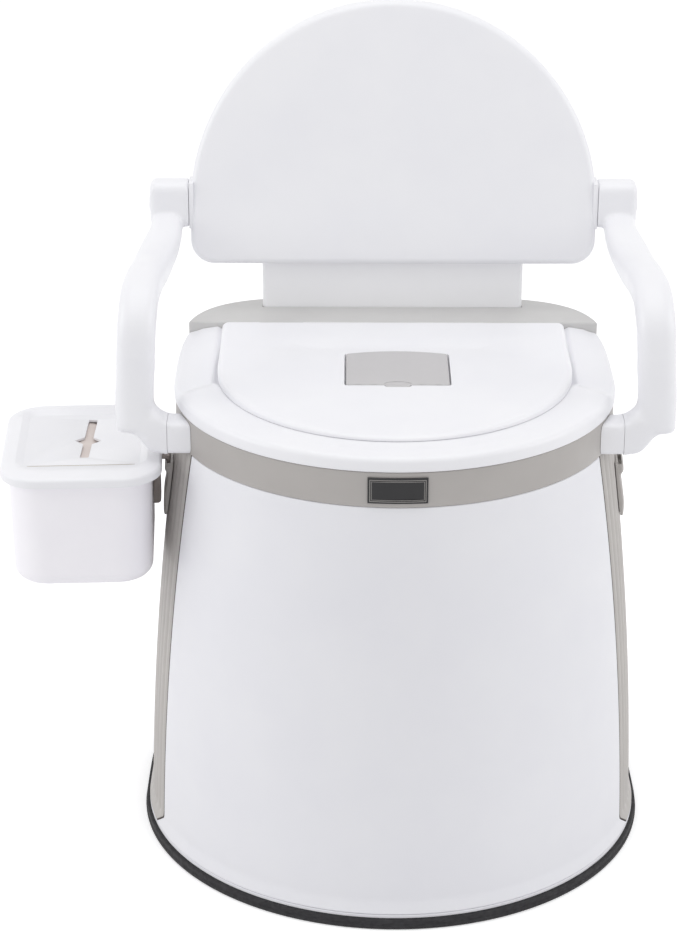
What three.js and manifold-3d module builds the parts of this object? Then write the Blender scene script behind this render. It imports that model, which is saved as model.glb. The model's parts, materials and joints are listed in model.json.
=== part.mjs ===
// Portable camping toilet: tapered housing, lift-out bucket, seat, lid, backrest with arms, paper box.
// Millimetres, +Z up. The front faces -Y, and the origin is on the floor under the centre of the front arc.
import * as THREE from 'three';
import Module from 'manifold-3d';
import { mergeVertices } from 'three/addons/utils/BufferGeometryUtils.js';

const wasm = await Module();
wasm.setup();

// Driving dimensions

const gap = 0.3; // clearance between pieces that touch
const overrun = 3; // how far a cutting body passes the face that it cuts

const housing = {
  topRadius: 187.3, // front radius under the collar
  footRadius: 216.95, // front radius above the base
  lift: 1,
  bulge: 5.29,
  wall: 3,
  lipReach: 2.6, // the walls flare out by this much at the foot
  lipHeight: 8,
  rearDepthShare: 0.88, // depth behind the centre, as a share of the front radius
  cornerPower: 4, // squareness of the rear corners
  seam: 78, // the pillars reach this far before and behind the centre
  fluteDepth: 2.6,
  flutes: 12,
};
const foot = { height: 9, reach: 3.8, draft: 0.8, width: 22 };
const pan = { reach: 3.05, plate: 2.9, curbInset: 10.5, curbWidth: 5, curbHeight: 16, stubRadius: 45 };
const collar = { top: 399.5, height: 30, wall: 4, flange: 4 };
const deck = { front: 92, rise: 28.5, inset: 1.1, wall: 4, sleeveWall: 2.4 };
const badge = { width: 48, height: 22, thickness: 1.6 };
const bucket = {
  centreY: -42,
  frontGap: 11.6,
  rimWidth: 12,
  rimThickness: 1.8,
  taper: 18,
  depth: 337.5,
  wall: 2.5,
  round: 6,
};
const bail = { radius: 2.2, inset: 10, drop: 12, hole: 2.7, gripRadius: 6, gripSteps: 4 };
const seat = {
  overhang: 1,
  frontHeight: 12.9,
  rearHeight: 17.3,
  skirt: 5.2,
  round: 9,
  shoulder: 24,
  holeWidth: 190,
  holeLength: 220,
  holeRound: 4,
  channel: 6.5,
  channelWall: 6,
  bottomChamfer: 5,
};
const seatBumper = { radius: 8, frontInset: 38.6, front: -60, rearInset: 40.6, rear: 62 };
const hinge = {
  setback: 7,
  rise: 24.5,
  barrel: 5.8,
  knuckle: 3.9,
  pin: 1.6,
  bore: 1.9,
  start: 80,
  knuckleWidth: 20,
  lugWidth: 18,
  pinInset: 2,
  pinReach: 22,
};
const lid = {
  sideInset: 37.6,
  frontInset: 31.6,
  frontCentre: -5,
  rearGap: 1,
  cornerRadius: 9,
  frontHeight: 4.5,
  rearHeight: 6,
  round: 2.8,
  crown: 0.8,
  crownInset: 26,
};
const lidBumper = { radius: 6, depth: 2.6, side: 70, y: -128 };
const cover = {
  centreX: 2,
  halfWidth: 43.5,
  front: -54,
  rear: 9,
  arch: 11,
  thickness: 4.6,
  proud: 1.2,
  round: 1.6,
  sideGap: 1.4,
  tabWidth: 24,
  tabReach: 4,
  tabThickness: 2,
};
const tray = { sideInset: 9.5, endInset: 7.5, depth: 17, wall: 1.6, flange: 4, flangeThickness: 1.4 };
const traySlot = { count: 4, width: 3, inset: 7 };
const block = { margin: 3.4, height: 9, bevel: 1.5 };
const post = { halfWidth: 117, front: 134, thickness: 16, depth: 54.5, rise: 119.5 };
const backrest = {
  overhang: 12,
  rise: 72.5,
  lean: THREE.MathUtils.degToRad(8),
  halfWidth: 180.3,
  cornerRadius: 21,
  straightTop: 52,
  thickness: 30,
  frontDepth: 10,
  edgeRound: 7,
  rearRound: 3.5,
  wall: 3,
};
const pivot = {
  setback: 18.5,
  rise: 51.8,
  pin: 4,
  bore: 4.3,
  boss: 7.8,
  bossDepth: 30,
  earWidth: 24,
  ear: 1.2,
};
const arm = {
  blockDepth: 27,
  blockWidth: 33,
  blockHeight: 41.5,
  blockRound: 8,
  blockEdge: 5,
  halfWidth: 16,
  halfHeight: 15,
  sectionPower: 2.7,
  widenShare: 0.2, // the tube has its full width after this share of its length
  socketDepth: 2.9,
  endDrop: 0.5,
  endOverlap: 0.2,
  elbowDrop: 8,
  elbowHeight: 41,
  elbowStart: 1.5,
  elbowEnd: 30.5,
  elbowInner: 11.1,
  elbowOuter: 42.5,
  elbowFillet: 8,
  postY: -63.5,
  // Centre line of the tube, as shares of the way from the pivot to the foot of the elbow in X, Y and Z
  routeShares: [
    [0, 0.015, 0],
    [0.05, 0.11, 0.08],
    [0.2, 0.21, 0.165],
    [0.44, 0.32, 0.22],
    [0.57, 0.49, 0.225],
    [0.66, 0.69, 0.2],
    [0.72, 0.875, 0.215],
    [0.765, 0.973, 0.33],
    [0.81, 1, 0.52],
    [0.95, 1, 0.71],
    [1, 1, 0.93],
  ],
};
const armCap = { radius: 8, thickness: 1.8 };
const bracket = {
  y: 0,
  turn: -3.4, // degrees about the upright axis, from square to the side towards the front
  drop: 27.5,
  height: 54,
  width: 34,
  tipRadius: 11,
  topThickness: 7.6,
  footThickness: 0.9,
  round: 6,
};
const hook = { plate: 6.5, sideGap: 2, length: 44, tongue: 5.7, tongueThickness: 2.6, bridge: 3 };
const pocket = { inset: 3.9, width: 22, depth: 12, windowHeight: 8 };
const box = {
  stand: 9.6,
  shiftY: 8.8,
  halfWidth: 59.8,
  halfLength: 81.5,
  sideTaper: 1,
  endTaper: 7,
  rise: 13,
  height: 98,
  wall: 2.5,
  corner: 30,
  footRound: 12,
  flange: 2,
};
const boxLid = {
  shiftX: 0.8,
  sideOverhang: 7.8,
  endOverhang: 5.5,
  corner: 34,
  rise: 6,
  overlap: 2,
  wall: 3,
  dishSide: 12.5,
  dishBack: 11,
  dishFront: 30.5,
  dishCorner: 14,
  dishSlope: 5,
  panelDrop: 3.6,
  round: 2,
  slotShift: -4.2,
  slotLength: 87,
  slotWidth: 6.5,
  slotBack: 13.5,
  crossLength: 22,
  crossWidth: 16,
  crossForward: -8.4,
  grooveLength: 92,
  grooveWidth: 3,
  grooveDepth: 1.2,
  grooveInset: 3,
};
const screw = { headRadius: 4.5, headHeight: 2, shaftRadius: 1.8, length: 12, drop: 11, sideInset: 27 };
const bracketScrew = { headRadius: 3.6, headHeight: 1.4, shaftRadius: 1.5, length: 9, drop: 38 };

// Resolution of the curved surfaces

const detail = {
  planSteps: 52,
  panelSteps: 20,
  levelSteps: 5,
  lipSteps: 3,
  roundSides: 32,
  smallSides: 12,
  fluteSteps: 2,
  arcSteps: 8,
  rodSides: 6,
  tubeSteps: 18,
  tubeSides: 12,
};

// Radii and half widths that follow from the driving dimensions

const collarRadius = housing.topRadius + gap;
const panRadius = housing.footRadius + pan.reach;
const ringRadius = panRadius + foot.reach;
const deckRadius = collarRadius - deck.inset;
const seatRadius = collarRadius + seat.overhang;
const rimRadius = collarRadius + bucket.centreY - bucket.frontGap;
const pailRadius = rimRadius - bucket.rimWidth;
const pailFootRadius = pailRadius - bucket.taper;
const bailReach = pailRadius - bail.inset;
const lidHalfWidth = seatRadius - lid.sideInset;
const lidLength = seatRadius + lid.frontCentre - lid.frontInset;
const trayHalfWidth = cover.halfWidth - tray.sideInset;
const trayHalfLength = (cover.rear - cover.front) / 2 - tray.endInset;
const armInner = backrest.halfWidth + pivot.ear + gap;
const armOuter = armInner + arm.blockWidth;
const armEnd = collarRadius + arm.socketDepth; // the seam between an arm and its socket
const far = ringRadius + seatRadius; // beyond the housing on every side

// Heights and depths that follow from them

const collarBottom = collar.top - collar.height;
const panTop = foot.height + gap + pan.plate;
const wallStart = panTop + housing.lift;
const seatBottom = collar.top + 2 * gap;
const seatFrontTop = seatBottom + seat.frontHeight;
const seatRearTop = seatBottom + seat.rearHeight;
const flangeBottom = collar.top - collar.flange;
const deckTop = collar.top + deck.rise;
const pailBottom = collar.top - bucket.depth;
const hingeY = deck.front - hinge.setback;
const hingeZ = collar.top + hinge.rise;
const lugStart = hinge.start + hinge.knuckleWidth;
const lugEnd = lugStart + hinge.lugWidth;
const hingePinEnd = lugEnd + hinge.pinReach;
const lidRear = deck.front - lid.rearGap;
const lidFrontTop = seatFrontTop + lid.frontHeight;
const lidRearTop = hingeZ + lid.rearHeight;
const postBottom = collar.top - post.depth;
const postTop = collar.top + post.rise;
const postBack = post.front + post.thickness;
const backrestFrontY = post.front - backrest.overhang;
const backrestBottom = collar.top + backrest.rise;
const pivotY = backrestFrontY + pivot.setback;
const pivotZ = backrestBottom + pivot.rise;
const armEndTop = collar.top - arm.endDrop;
const armEndBottom = collarBottom - arm.endOverlap;
const elbowBottom = armEndTop - arm.elbowDrop;
const bracketTop = collarBottom - bracket.drop;
const lidSlope = (lidRearTop - lidFrontTop) / (hingeY + lidLength - lid.frontCentre);
const seatSlope = (seatRearTop - seatFrontTop) / (hingeY + seatRadius);
const lidTopAt = (y) => lidRearTop + (y - hingeY) * lidSlope;
const seatTopAt = (y) => seatRearTop + (y - hingeY) * seatSlope;

// Materials

function plastic(color, roughness) {
  return new THREE.MeshStandardMaterial({ color, roughness, metalness: 0 });
}
const white = plastic(0xe4e3e7, 0.35);
const glossWhite = plastic(0xf0f0f2, 0.25);
const grey = plastic(0xb3aea9, 0.45);
const paleGrey = plastic(0xcbc9c8, 0.45);
const black = plastic(0x3a3a3d, 0.8);
const dark = plastic(0x2b2a28, 0.4);
const bucketGrey = plastic(0xa9a7a4, 0.5);
const scented = plastic(0x9fc4b0, 0.7);
const steel = new THREE.MeshStandardMaterial({ color: 0xb9babd, roughness: 0.3, metalness: 1 });

const toilet = new THREE.Group();
toilet.name = 'portable_camping_toilet';

function addPiece(name, geometry, material) {
  const piece = new THREE.Mesh(geometry, material);
  piece.name = name;
  toilet.add(piece);
}

// Closed meshes and the operations on them

function signedVolume(points, triangles) {
  let volume = 0;
  for (let i = 0; i < triangles.length; i += 3) {
    const [a, b, c] = [points[triangles[i]], points[triangles[i + 1]], points[triangles[i + 2]]];
    volume += a.dot(new THREE.Vector3().crossVectors(b, c));
  }
  return volume;
}

function meshOf(points, triangles) {
  const geometry = new THREE.BufferGeometry();
  const order = signedVolume(points, triangles) < 0 ? triangles.toReversed() : triangles;
  const values = points.flatMap((p) => p.toArray());
  geometry.setAttribute('position', new THREE.Float32BufferAttribute(values, 3));
  geometry.setIndex(order);
  return geometry;
}

function loopNormal(loop) {
  const normal = new THREE.Vector3();
  loop.forEach((p, i) => normal.add(new THREE.Vector3().crossVectors(p, loop[(i + 1) % loop.length])));
  return normal.normalize();
}

// Triangles over one flat loop, all turning the way that the loop turns
function capOf(loop) {
  const normal = loopNormal(loop);
  const first = new THREE.Vector3().subVectors(loop[1], loop[0]).normalize();
  const second = new THREE.Vector3().crossVectors(normal, first);
  const flat = loop.map((p) => new THREE.Vector2(p.dot(first), p.dot(second)));
  const faces = THREE.ShapeUtils.triangulateShape(flat, []);
  return faces.map(([a, b, c]) => {
    const [one, two] = [flat[b].clone().sub(flat[a]), flat[c].clone().sub(flat[a])];
    return one.cross(two) > 0 ? [a, b, c] : [a, c, b];
  });
}

// Joins loops of equal length into one closed body; a closed run has no end caps
function loft(loops, closed = false) {
  const count = loops[0].length;
  const points = loops.flat();
  const triangles = [];
  const runs = closed ? loops.length : loops.length - 1;
  for (let i = 0; i < runs; i++) {
    for (let j = 0; j < count; j++) {
      const a = i * count + j;
      const b = i * count + ((j + 1) % count);
      const next = ((i + 1) % loops.length) * count;
      triangles.push(a, b, next + ((j + 1) % count), a, next + ((j + 1) % count), next + j);
    }
  }
  if (!closed) {
    const last = (loops.length - 1) * count;
    capOf(loops[0]).forEach(([a, b, c]) => triangles.push(c, b, a));
    capOf(loops.at(-1)).forEach(([a, b, c]) => triangles.push(last + a, last + b, last + c));
  }
  return meshOf(points, triangles);
}

function solidOf(geometry) {
  const bare = geometry.clone();
  bare.deleteAttribute('normal');
  bare.deleteAttribute('uv');
  const merged = mergeVertices(bare);
  const index = merged.index.array;
  const kept = [];
  for (let i = 0; i < index.length; i += 3) {
    const [a, b, c] = index.slice(i, i + 3);
    if (a !== b && b !== c && c !== a) kept.push(a, b, c);
  }
  return new wasm.Manifold(
    new wasm.Mesh({
      numProp: 3,
      vertProperties: new Float32Array(merged.attributes.position.array),
      triVerts: new Uint32Array(kept),
    }),
  );
}

function geometryOf(solid) {
  const mesh = solid.getMesh();
  const geometry = new THREE.BufferGeometry();
  geometry.setAttribute('position', new THREE.Float32BufferAttribute(mesh.vertProperties, 3));
  geometry.setIndex(Array.from(mesh.triVerts));
  return geometry;
}

// The first shape, with the added ones joined and then the removed ones cut away
function combine(base, added, removed) {
  let solid = solidOf(base);
  for (const shape of added) solid = solid.add(solidOf(shape));
  for (const shape of removed) solid = solid.subtract(solidOf(shape));
  return geometryOf(solid);
}

function common(first, second) {
  return geometryOf(solidOf(first).intersect(solidOf(second)));
}

function mirrored(geometry) {
  const copy = geometry.clone().scale(-1, 1, 1);
  const index = copy.index ? Array.from(copy.index.array) : [...copy.attributes.position.array.keys()];
  copy.setIndex(index.reverse());
  return copy;
}

function boxBetween(low, high) {
  const size = high.map((value, i) => value - low[i]);
  const middle = high.map((value, i) => (value + low[i]) / 2);
  return new THREE.BoxGeometry(...size).translate(...middle);
}

function uprightCylinder(radius, bottom, top, x, y, segments = detail.roundSides) {
  const cylinder = new THREE.CylinderGeometry(radius, radius, top - bottom, segments);
  return cylinder.rotateX(Math.PI / 2).translate(x, y, (top + bottom) / 2);
}

function crossCylinder(radius, left, right, y, z, segments = detail.smallSides) {
  const cylinder = new THREE.CylinderGeometry(radius, radius, right - left, segments);
  return cylinder.rotateZ(Math.PI / 2).translate((left + right) / 2, y, z);
}

// A flat outline in X and Z, made solid between two depths in Y
function slabBetween(shape, front, back, segments = detail.arcSteps) {
  const settings = { depth: back - front, bevelEnabled: false, curveSegments: segments };
  return new THREE.ExtrudeGeometry(shape, settings).rotateX(Math.PI / 2).translate(0, back, 0);
}

// The plan outline: a round front, and a squarer rear

function planReach(angle, size) {
  if (Math.sin(angle) <= 0) return size;
  const side = Math.abs(Math.cos(angle) / size) ** housing.cornerPower;
  const back = Math.abs(Math.sin(angle) / (size * housing.rearDepthShare)) ** housing.cornerPower;
  return (side + back) ** (-1 / housing.cornerPower);
}

function planPoint(angle, size, z) {
  const reach = planReach(angle, size);
  return new THREE.Vector3(reach * Math.cos(angle), reach * Math.sin(angle), z);
}

function planLoop(size, z, steps = detail.planSteps) {
  return Array.from({ length: steps }, (_, i) => planPoint((2 * Math.PI * i) / steps, size, z));
}

function planPrism(size, bottom, top) {
  return loft([planLoop(size, bottom), planLoop(size, top)]);
}

// The angle at which an outline of this size reaches this depth, on the right side
function angleAtDepth(y, size) {
  if (y <= 0) return Math.asin(y / size);
  const back = (y / (size * housing.rearDepthShare)) ** housing.cornerPower;
  return Math.atan2(y, size * (1 - back) ** (1 / housing.cornerPower));
}

function radiusAt(z) {
  const rise = (z - wallStart) / (collarBottom - wallStart);
  const straight = THREE.MathUtils.lerp(housing.footRadius, housing.topRadius, rise);
  return straight + 4 * housing.bulge * rise * (1 - rise);
}

function housingEnvelope(extra, bottom, top) {
  const rises = Array.from({ length: detail.levelSteps + 1 }, (_, i) => i / detail.levelSteps);
  const heights = rises.map((rise) => THREE.MathUtils.lerp(bottom, top, rise));
  return loft(heights.map((z) => planLoop(radiusAt(z) + extra, z)));
}

// Foot

function footRing() {
  const stations = Array.from({ length: detail.planSteps }, (_, i) => {
    const angle = (2 * Math.PI * i) / detail.planSteps;
    return [
      planPoint(angle, ringRadius, 0),
      planPoint(angle, ringRadius - foot.draft, foot.height),
      planPoint(angle, ringRadius - foot.width, foot.height),
      planPoint(angle, ringRadius - foot.width, 0),
    ];
  });
  return loft(stations, true);
}

function basePan() {
  const bottom = foot.height + gap;
  const curbRadius = panRadius - pan.curbInset;
  const plate = planPrism(panRadius, bottom, panTop);
  const curb = planPrism(curbRadius, bottom, panTop + pan.curbHeight);
  const stub = uprightCylinder(pan.stubRadius, 0, bottom + pan.plate / 2, 0, 0);
  const hollow = planPrism(curbRadius - pan.curbWidth, panTop, panTop + pan.curbHeight + overrun);
  return combine(plate, [curb, stub], [hollow]);
}

// Housing walls

function wallPanel({ start, end, steps, wall, relief = () => 0 }) {
  const bottom = panTop + gap;
  const top = collarBottom - gap;
  const levels = (count, low, high) =>
    Array.from({ length: count }, (_, i) => THREE.MathUtils.lerp(low, high, i / count));
  const lipTop = bottom + housing.lipHeight;
  const heights = [
    ...levels(detail.lipSteps, bottom, lipTop),
    ...levels(detail.levelSteps, lipTop, top),
    top,
  ];
  const shares = Array.from({ length: steps + 1 }, (_, i) => i / steps);
  const loops = heights.map((z) => {
    const size = radiusAt(z);
    const lip = housing.lipReach * Math.max(0, (lipTop - z) / housing.lipHeight) ** 2;
    const pointAt = (share, inset) =>
      planPoint(THREE.MathUtils.lerp(start(size), end(size), share), size - inset, z);
    const outer = shares.map((share) => pointAt(share, relief(share) - lip));
    const inner = shares.toReversed().map((share) => pointAt(share, wall));
    return [...outer, ...inner];
  });
  return loft(loops);
}

function frontShell() {
  const start = (size) => angleAtDepth(-housing.seam - gap / 2, size);
  const end = (size) => -Math.PI - start(size);
  return wallPanel({ start, end, steps: detail.panelSteps, wall: housing.wall });
}

function rearShell() {
  const start = (size) => angleAtDepth(housing.seam + gap / 2, size);
  const end = (size) => Math.PI - start(size);
  return wallPanel({ start, end, steps: detail.panelSteps, wall: housing.wall });
}

function sidePillar() {
  return wallPanel({
    start: (size) => angleAtDepth(-housing.seam + gap / 2, size),
    end: (size) => angleAtDepth(housing.seam - gap / 2, size),
    steps: housing.flutes * detail.fluteSteps,
    wall: housing.wall + housing.fluteDepth,
    relief: (share) => (housing.fluteDepth * (1 - Math.cos(2 * Math.PI * housing.flutes * share))) / 2,
  });
}

// Collar and deck

function sleeveBox(grow, bottom, top) {
  const reach = post.halfWidth + grow;
  const back = postBack + grow;
  return boxBetween([-reach, post.front - grow, bottom], [reach, back, top]);
}

function collarRing() {
  const outer = planPrism(collarRadius, collarBottom, collar.top);
  const inner = planPrism(collarRadius - collar.wall, collarBottom - overrun, flangeBottom);
  const rimSeat = collar.top - gap - bucket.rimThickness;
  const mouth = pailRadius + bucket.round;
  return combine(outer, [], [
    inner,
    uprightCylinder(mouth, flangeBottom - overrun, collar.top + overrun, 0, bucket.centreY),
    uprightCylinder(rimRadius + gap, rimSeat - gap, collar.top + overrun, 0, bucket.centreY),
    sleeveBox(deck.sleeveWall + gap, collarBottom - overrun, collar.top + overrun),
  ]);
}

function hingeLug() {
  const bottom = collar.top + gap;
  const { knuckle } = hinge;
  const eye = crossCylinder(knuckle, lugStart, lugEnd, hingeY, hingeZ);
  const stem = boxBetween([lugStart, hingeY - knuckle, bottom], [lugEnd, hingeY + knuckle, hingeZ]);
  const webEnd = deck.front + deck.wall / 2;
  const web = boxBetween([lugStart, hingeY, bottom], [lugEnd, webEnd, bottom + collar.flange]);
  return combine(eye, [stem, web], []);
}

function rearDeck() {
  const bottom = collar.top + gap;
  const behind = boxBetween([-far, deck.front, bottom - overrun], [far, far, deckTop + overrun]);
  const outer = common(planPrism(deckRadius, bottom, deckTop), behind);
  const ceiling = deckTop - deck.wall;
  const inside = boxBetween([-far, deck.front + deck.wall, bottom - overrun], [far, far, ceiling]);
  const cavity = common(planPrism(deckRadius - deck.wall, bottom - overrun, ceiling), inside);
  const sleeve = sleeveBox(deck.sleeveWall, postBottom - deck.wall, deckTop - deck.wall / 2);
  const slot = sleeveBox(gap, postBottom - gap, deckTop + overrun);
  const lug = hingeLug();
  const bore = crossCylinder(hinge.bore, -hingePinEnd, hingePinEnd, hingeY, hingeZ);
  const hollowed = combine(outer, [], [cavity]);
  return combine(hollowed, [sleeve, lug, mirrored(lug)], [slot, bore]);
}

function badgePlate() {
  const half = badge.width / 2 / collarRadius;
  const middle = (collarBottom + collar.top) / 2;
  const bottom = middle - badge.height / 2;
  const stations = Array.from({ length: detail.arcSteps + 1 }, (_, i) => {
    const angle = -Math.PI / 2 + half * ((2 * i) / detail.arcSteps - 1);
    const near = collarRadius + gap;
    const far = near + badge.thickness;
    return [
      planPoint(angle, near, bottom),
      planPoint(angle, far, bottom),
      planPoint(angle, far, bottom + badge.height),
      planPoint(angle, near, bottom + badge.height),
    ];
  });
  return loft(stations);
}

// Bucket

function bucketPail() {
  const rimTopAt = collar.top - gap;
  const rimBottom = rimTopAt - bucket.rimThickness;
  const { wall, round } = bucket;
  const profile = [
    [0, pailBottom],
    [pailFootRadius - round, pailBottom],
    [pailFootRadius, pailBottom + round],
    [pailRadius, rimBottom],
    [rimRadius, rimBottom],
    [rimRadius, rimTopAt],
    [pailRadius - wall, rimTopAt],
    [pailFootRadius - wall, pailBottom + round],
    [pailFootRadius - round - wall, pailBottom + wall],
    [0, pailBottom + wall],
  ].map(([r, z]) => new THREE.Vector2(r, z));
  const shell = new THREE.LatheGeometry(profile, detail.roundSides).rotateX(Math.PI / 2);
  shell.translate(0, bucket.centreY, 0);
  const hole = crossCylinder(bail.hole, -rimRadius, rimRadius, bucket.centreY, rimTopAt - bail.drop);
  return combine(shell, [], [hole]);
}

// A round rod along an arc about the bucket's centre, behind it
function arcRod(radius, reach, start, end, z, steps) {
  const loops = Array.from({ length: steps + 1 }, (_, i) => {
    const angle = THREE.MathUtils.lerp(start, end, i / steps);
    return Array.from({ length: detail.rodSides }, (_unused, j) => {
      const turn = (2 * Math.PI * j) / detail.rodSides;
      const out = reach + radius * Math.cos(turn);
      const up = z + radius * Math.sin(turn);
      return new THREE.Vector3(out * Math.cos(angle), bucket.centreY + out * Math.sin(angle), up);
    });
  });
  return loft(loops);
}

function bucketBail() {
  const z = collar.top - gap - bail.drop;
  const stubs = [-1, 1].map((side) => {
    const [left, right] = [side * bailReach, side * pailRadius].sort((a, b) => a - b);
    return crossCylinder(bail.radius, left, right, bucket.centreY, z, detail.rodSides);
  });
  return combine(arcRod(bail.radius, bailReach, 0, Math.PI, z, detail.tubeSteps), stubs, []);
}

function bailGrip() {
  const z = collar.top - gap - bail.drop;
  const turnAt = (step) => (Math.PI * (detail.tubeSteps / 2 + step)) / detail.tubeSteps;
  const { radius, gripRadius, gripSteps } = bail;
  const half = gripSteps / 2;
  const past = gripSteps; // the bore runs on by half this many steps at each end
  const grip = arcRod(gripRadius, bailReach, turnAt(-half), turnAt(half), z, gripSteps);
  const bore = arcRod(radius + gap, bailReach, turnAt(-past), turnAt(past), z, gripSteps + past);
  return combine(grip, [], [bore]);
}

// Seat

function seatHolePoint(angle, inset, z) {
  const x = (seat.holeWidth / 2 - inset) * Math.cos(angle);
  const y = bucket.centreY + (seat.holeLength / 2 - inset) * Math.sin(angle);
  return new THREE.Vector3(x, y, z);
}

function seatStation(angle) {
  const drop = seatFrontTop - seatBottom - seat.skirt;
  const turn = Math.PI / 4;
  const rim = (inset, below) => {
    const p = planPoint(angle, seatRadius - inset, 0);
    return p.setZ(seatTopAt(p.y) - below);
  };
  const lip = (inset, below) => {
    const p = seatHolePoint(angle, inset, 0);
    return p.setZ(seatTopAt(p.y) - below);
  };
  return [
    planPoint(angle, seatRadius, seatBottom),
    rim(0, drop),
    rim(seat.round * (1 - Math.cos(turn)), drop * (1 - Math.sin(turn))),
    rim(seat.round, drop / 10),
    rim(seat.shoulder, 0),
    lip(-seat.holeRound, 0),
    lip(0, seat.holeRound),
    seatHolePoint(angle, 0, seatBottom),
  ];
}

function seatChannel() {
  const stations = Array.from({ length: detail.planSteps }, (_, i) => {
    const angle = (2 * Math.PI * i) / detail.planSteps;
    const outer = seatRadius - seat.channelWall;
    const ceiling = seatBottom + seat.channel;
    return [
      planPoint(angle, outer, seatBottom - overrun),
      planPoint(angle, outer, ceiling),
      seatHolePoint(angle, -seat.channelWall, ceiling),
      seatHolePoint(angle, -seat.channelWall, seatBottom - overrun),
    ];
  });
  return loft(stations, true);
}

function seatRing() {
  const angles = Array.from({ length: detail.planSteps }, (_, i) => (2 * Math.PI * i) / detail.planSteps);
  const stations = angles.map(seatStation);
  const [y, z, knuckle] = [hingeY, hingeZ, hinge.knuckle];
  const channelEnd = y - knuckle - seat.channelWall;
  const channel = combine(seatChannel(), [], [boxBetween([-far, channelEnd, 0], [far, far, z])]);
  const behind = boxBetween([-far, deck.front - 2 * gap, 0], [far, far, z]);
  const heelStart = deck.front - seat.bottomChamfer;
  const heel = boxBetween([-far, heelStart, 0], [far, far, seatBottom + seat.bottomChamfer]);
  const knuckleEnd = lugStart - gap;
  const eye = crossCylinder(knuckle, hinge.start, knuckleEnd, y, z);
  const stemBottom = seatRearTop - seat.round;
  const stem = boxBetween([hinge.start, y - knuckle, stemBottom], [knuckleEnd, y + knuckle, z]);
  const notch = boxBetween([lugStart - gap, y - knuckle - 4 * gap, 0], [lugEnd + gap, far, z]);
  const bore = crossCylinder(hinge.bore, -hingePinEnd, hingePinEnd, y, z);
  const trimmed = combine(loft(stations, true), [], [channel, behind, heel]);
  const knuckled = combine(trimmed, [eye, stem, mirrored(eye), mirrored(stem)], []);
  return combine(knuckled, [], [notch, mirrored(notch), bore]);
}

// Lid

function lidOutline(inset, heightAt) {
  const half = lidHalfWidth - inset;
  const length = lidLength - inset;
  const corner = lid.cornerRadius - Math.min(inset, lid.cornerRadius / 2);
  const rear = lidRear - inset;
  const arcSteps = detail.panelSteps + 2;
  const front = Array.from({ length: arcSteps + 1 }, (_, i) => {
    const angle = Math.PI + (Math.PI * i) / arcSteps;
    return [half * Math.cos(angle), lid.frontCentre + length * Math.sin(angle)];
  });
  const cornerSteps = detail.arcSteps / 2;
  const cornerAt = (side, begin) =>
    Array.from({ length: cornerSteps + 1 }, (_, i) => {
      const angle = begin + (Math.PI / 2) * (i / cornerSteps);
      const [x, y] = [corner * Math.cos(angle), corner * Math.sin(angle)];
      return [side * (half - corner) + x, rear - corner + y];
    });
  const points = [...front, ...cornerAt(1, 0), ...cornerAt(-1, Math.PI / 2)];
  return points.map(([x, y]) => new THREE.Vector3(x, y, heightAt(y)));
}

// Places a shape drawn on the lid's sloping top, with its own Z as the distance above that top
function onLidTop(geometry) {
  return geometry.rotateX(Math.atan(lidSlope)).translate(0, 0, lidTopAt(0));
}

function coverShape(grow) {
  const shape = new THREE.Shape();
  const half = cover.halfWidth + grow;
  const [front, rear] = [cover.front - grow, cover.rear + grow];
  shape.moveTo(-half, front);
  shape.lineTo(half, front);
  shape.lineTo(half, rear);
  shape.quadraticCurveTo(0, rear + 2 * cover.arch, -half, rear);
  return shape;
}

function coverPrism(grow, bottom, top) {
  const settings = { depth: top - bottom, bevelEnabled: false, curveSegments: detail.arcSteps };
  const prism = new THREE.ExtrudeGeometry(coverShape(grow), settings);
  return onLidTop(prism.translate(cover.centreX, 0, bottom));
}

const coverMiddle = (cover.front + cover.rear) / 2;
const recessFloor = cover.proud - cover.thickness - 2 * gap - tray.flangeThickness;

function trayBox(grow, bottom, top) {
  const [half, length] = [trayHalfWidth + grow, trayHalfLength + grow];
  const low = [cover.centreX - half, coverMiddle - length, bottom];
  return onLidTop(boxBetween(low, [cover.centreX + half, coverMiddle + length, top]));
}

// The finger tab under the front edge of the cover, and with a wider margin the notch for it
function tabBox(grow, top) {
  const half = cover.tabWidth / 2 + grow;
  const bottom = cover.proud - cover.round - cover.tabThickness - grow;
  const low = [cover.centreX - half, cover.front - cover.tabReach - grow, bottom];
  return onLidTop(boxBetween(low, [cover.centreX + half, cover.front + cover.tabReach, top]));
}

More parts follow.
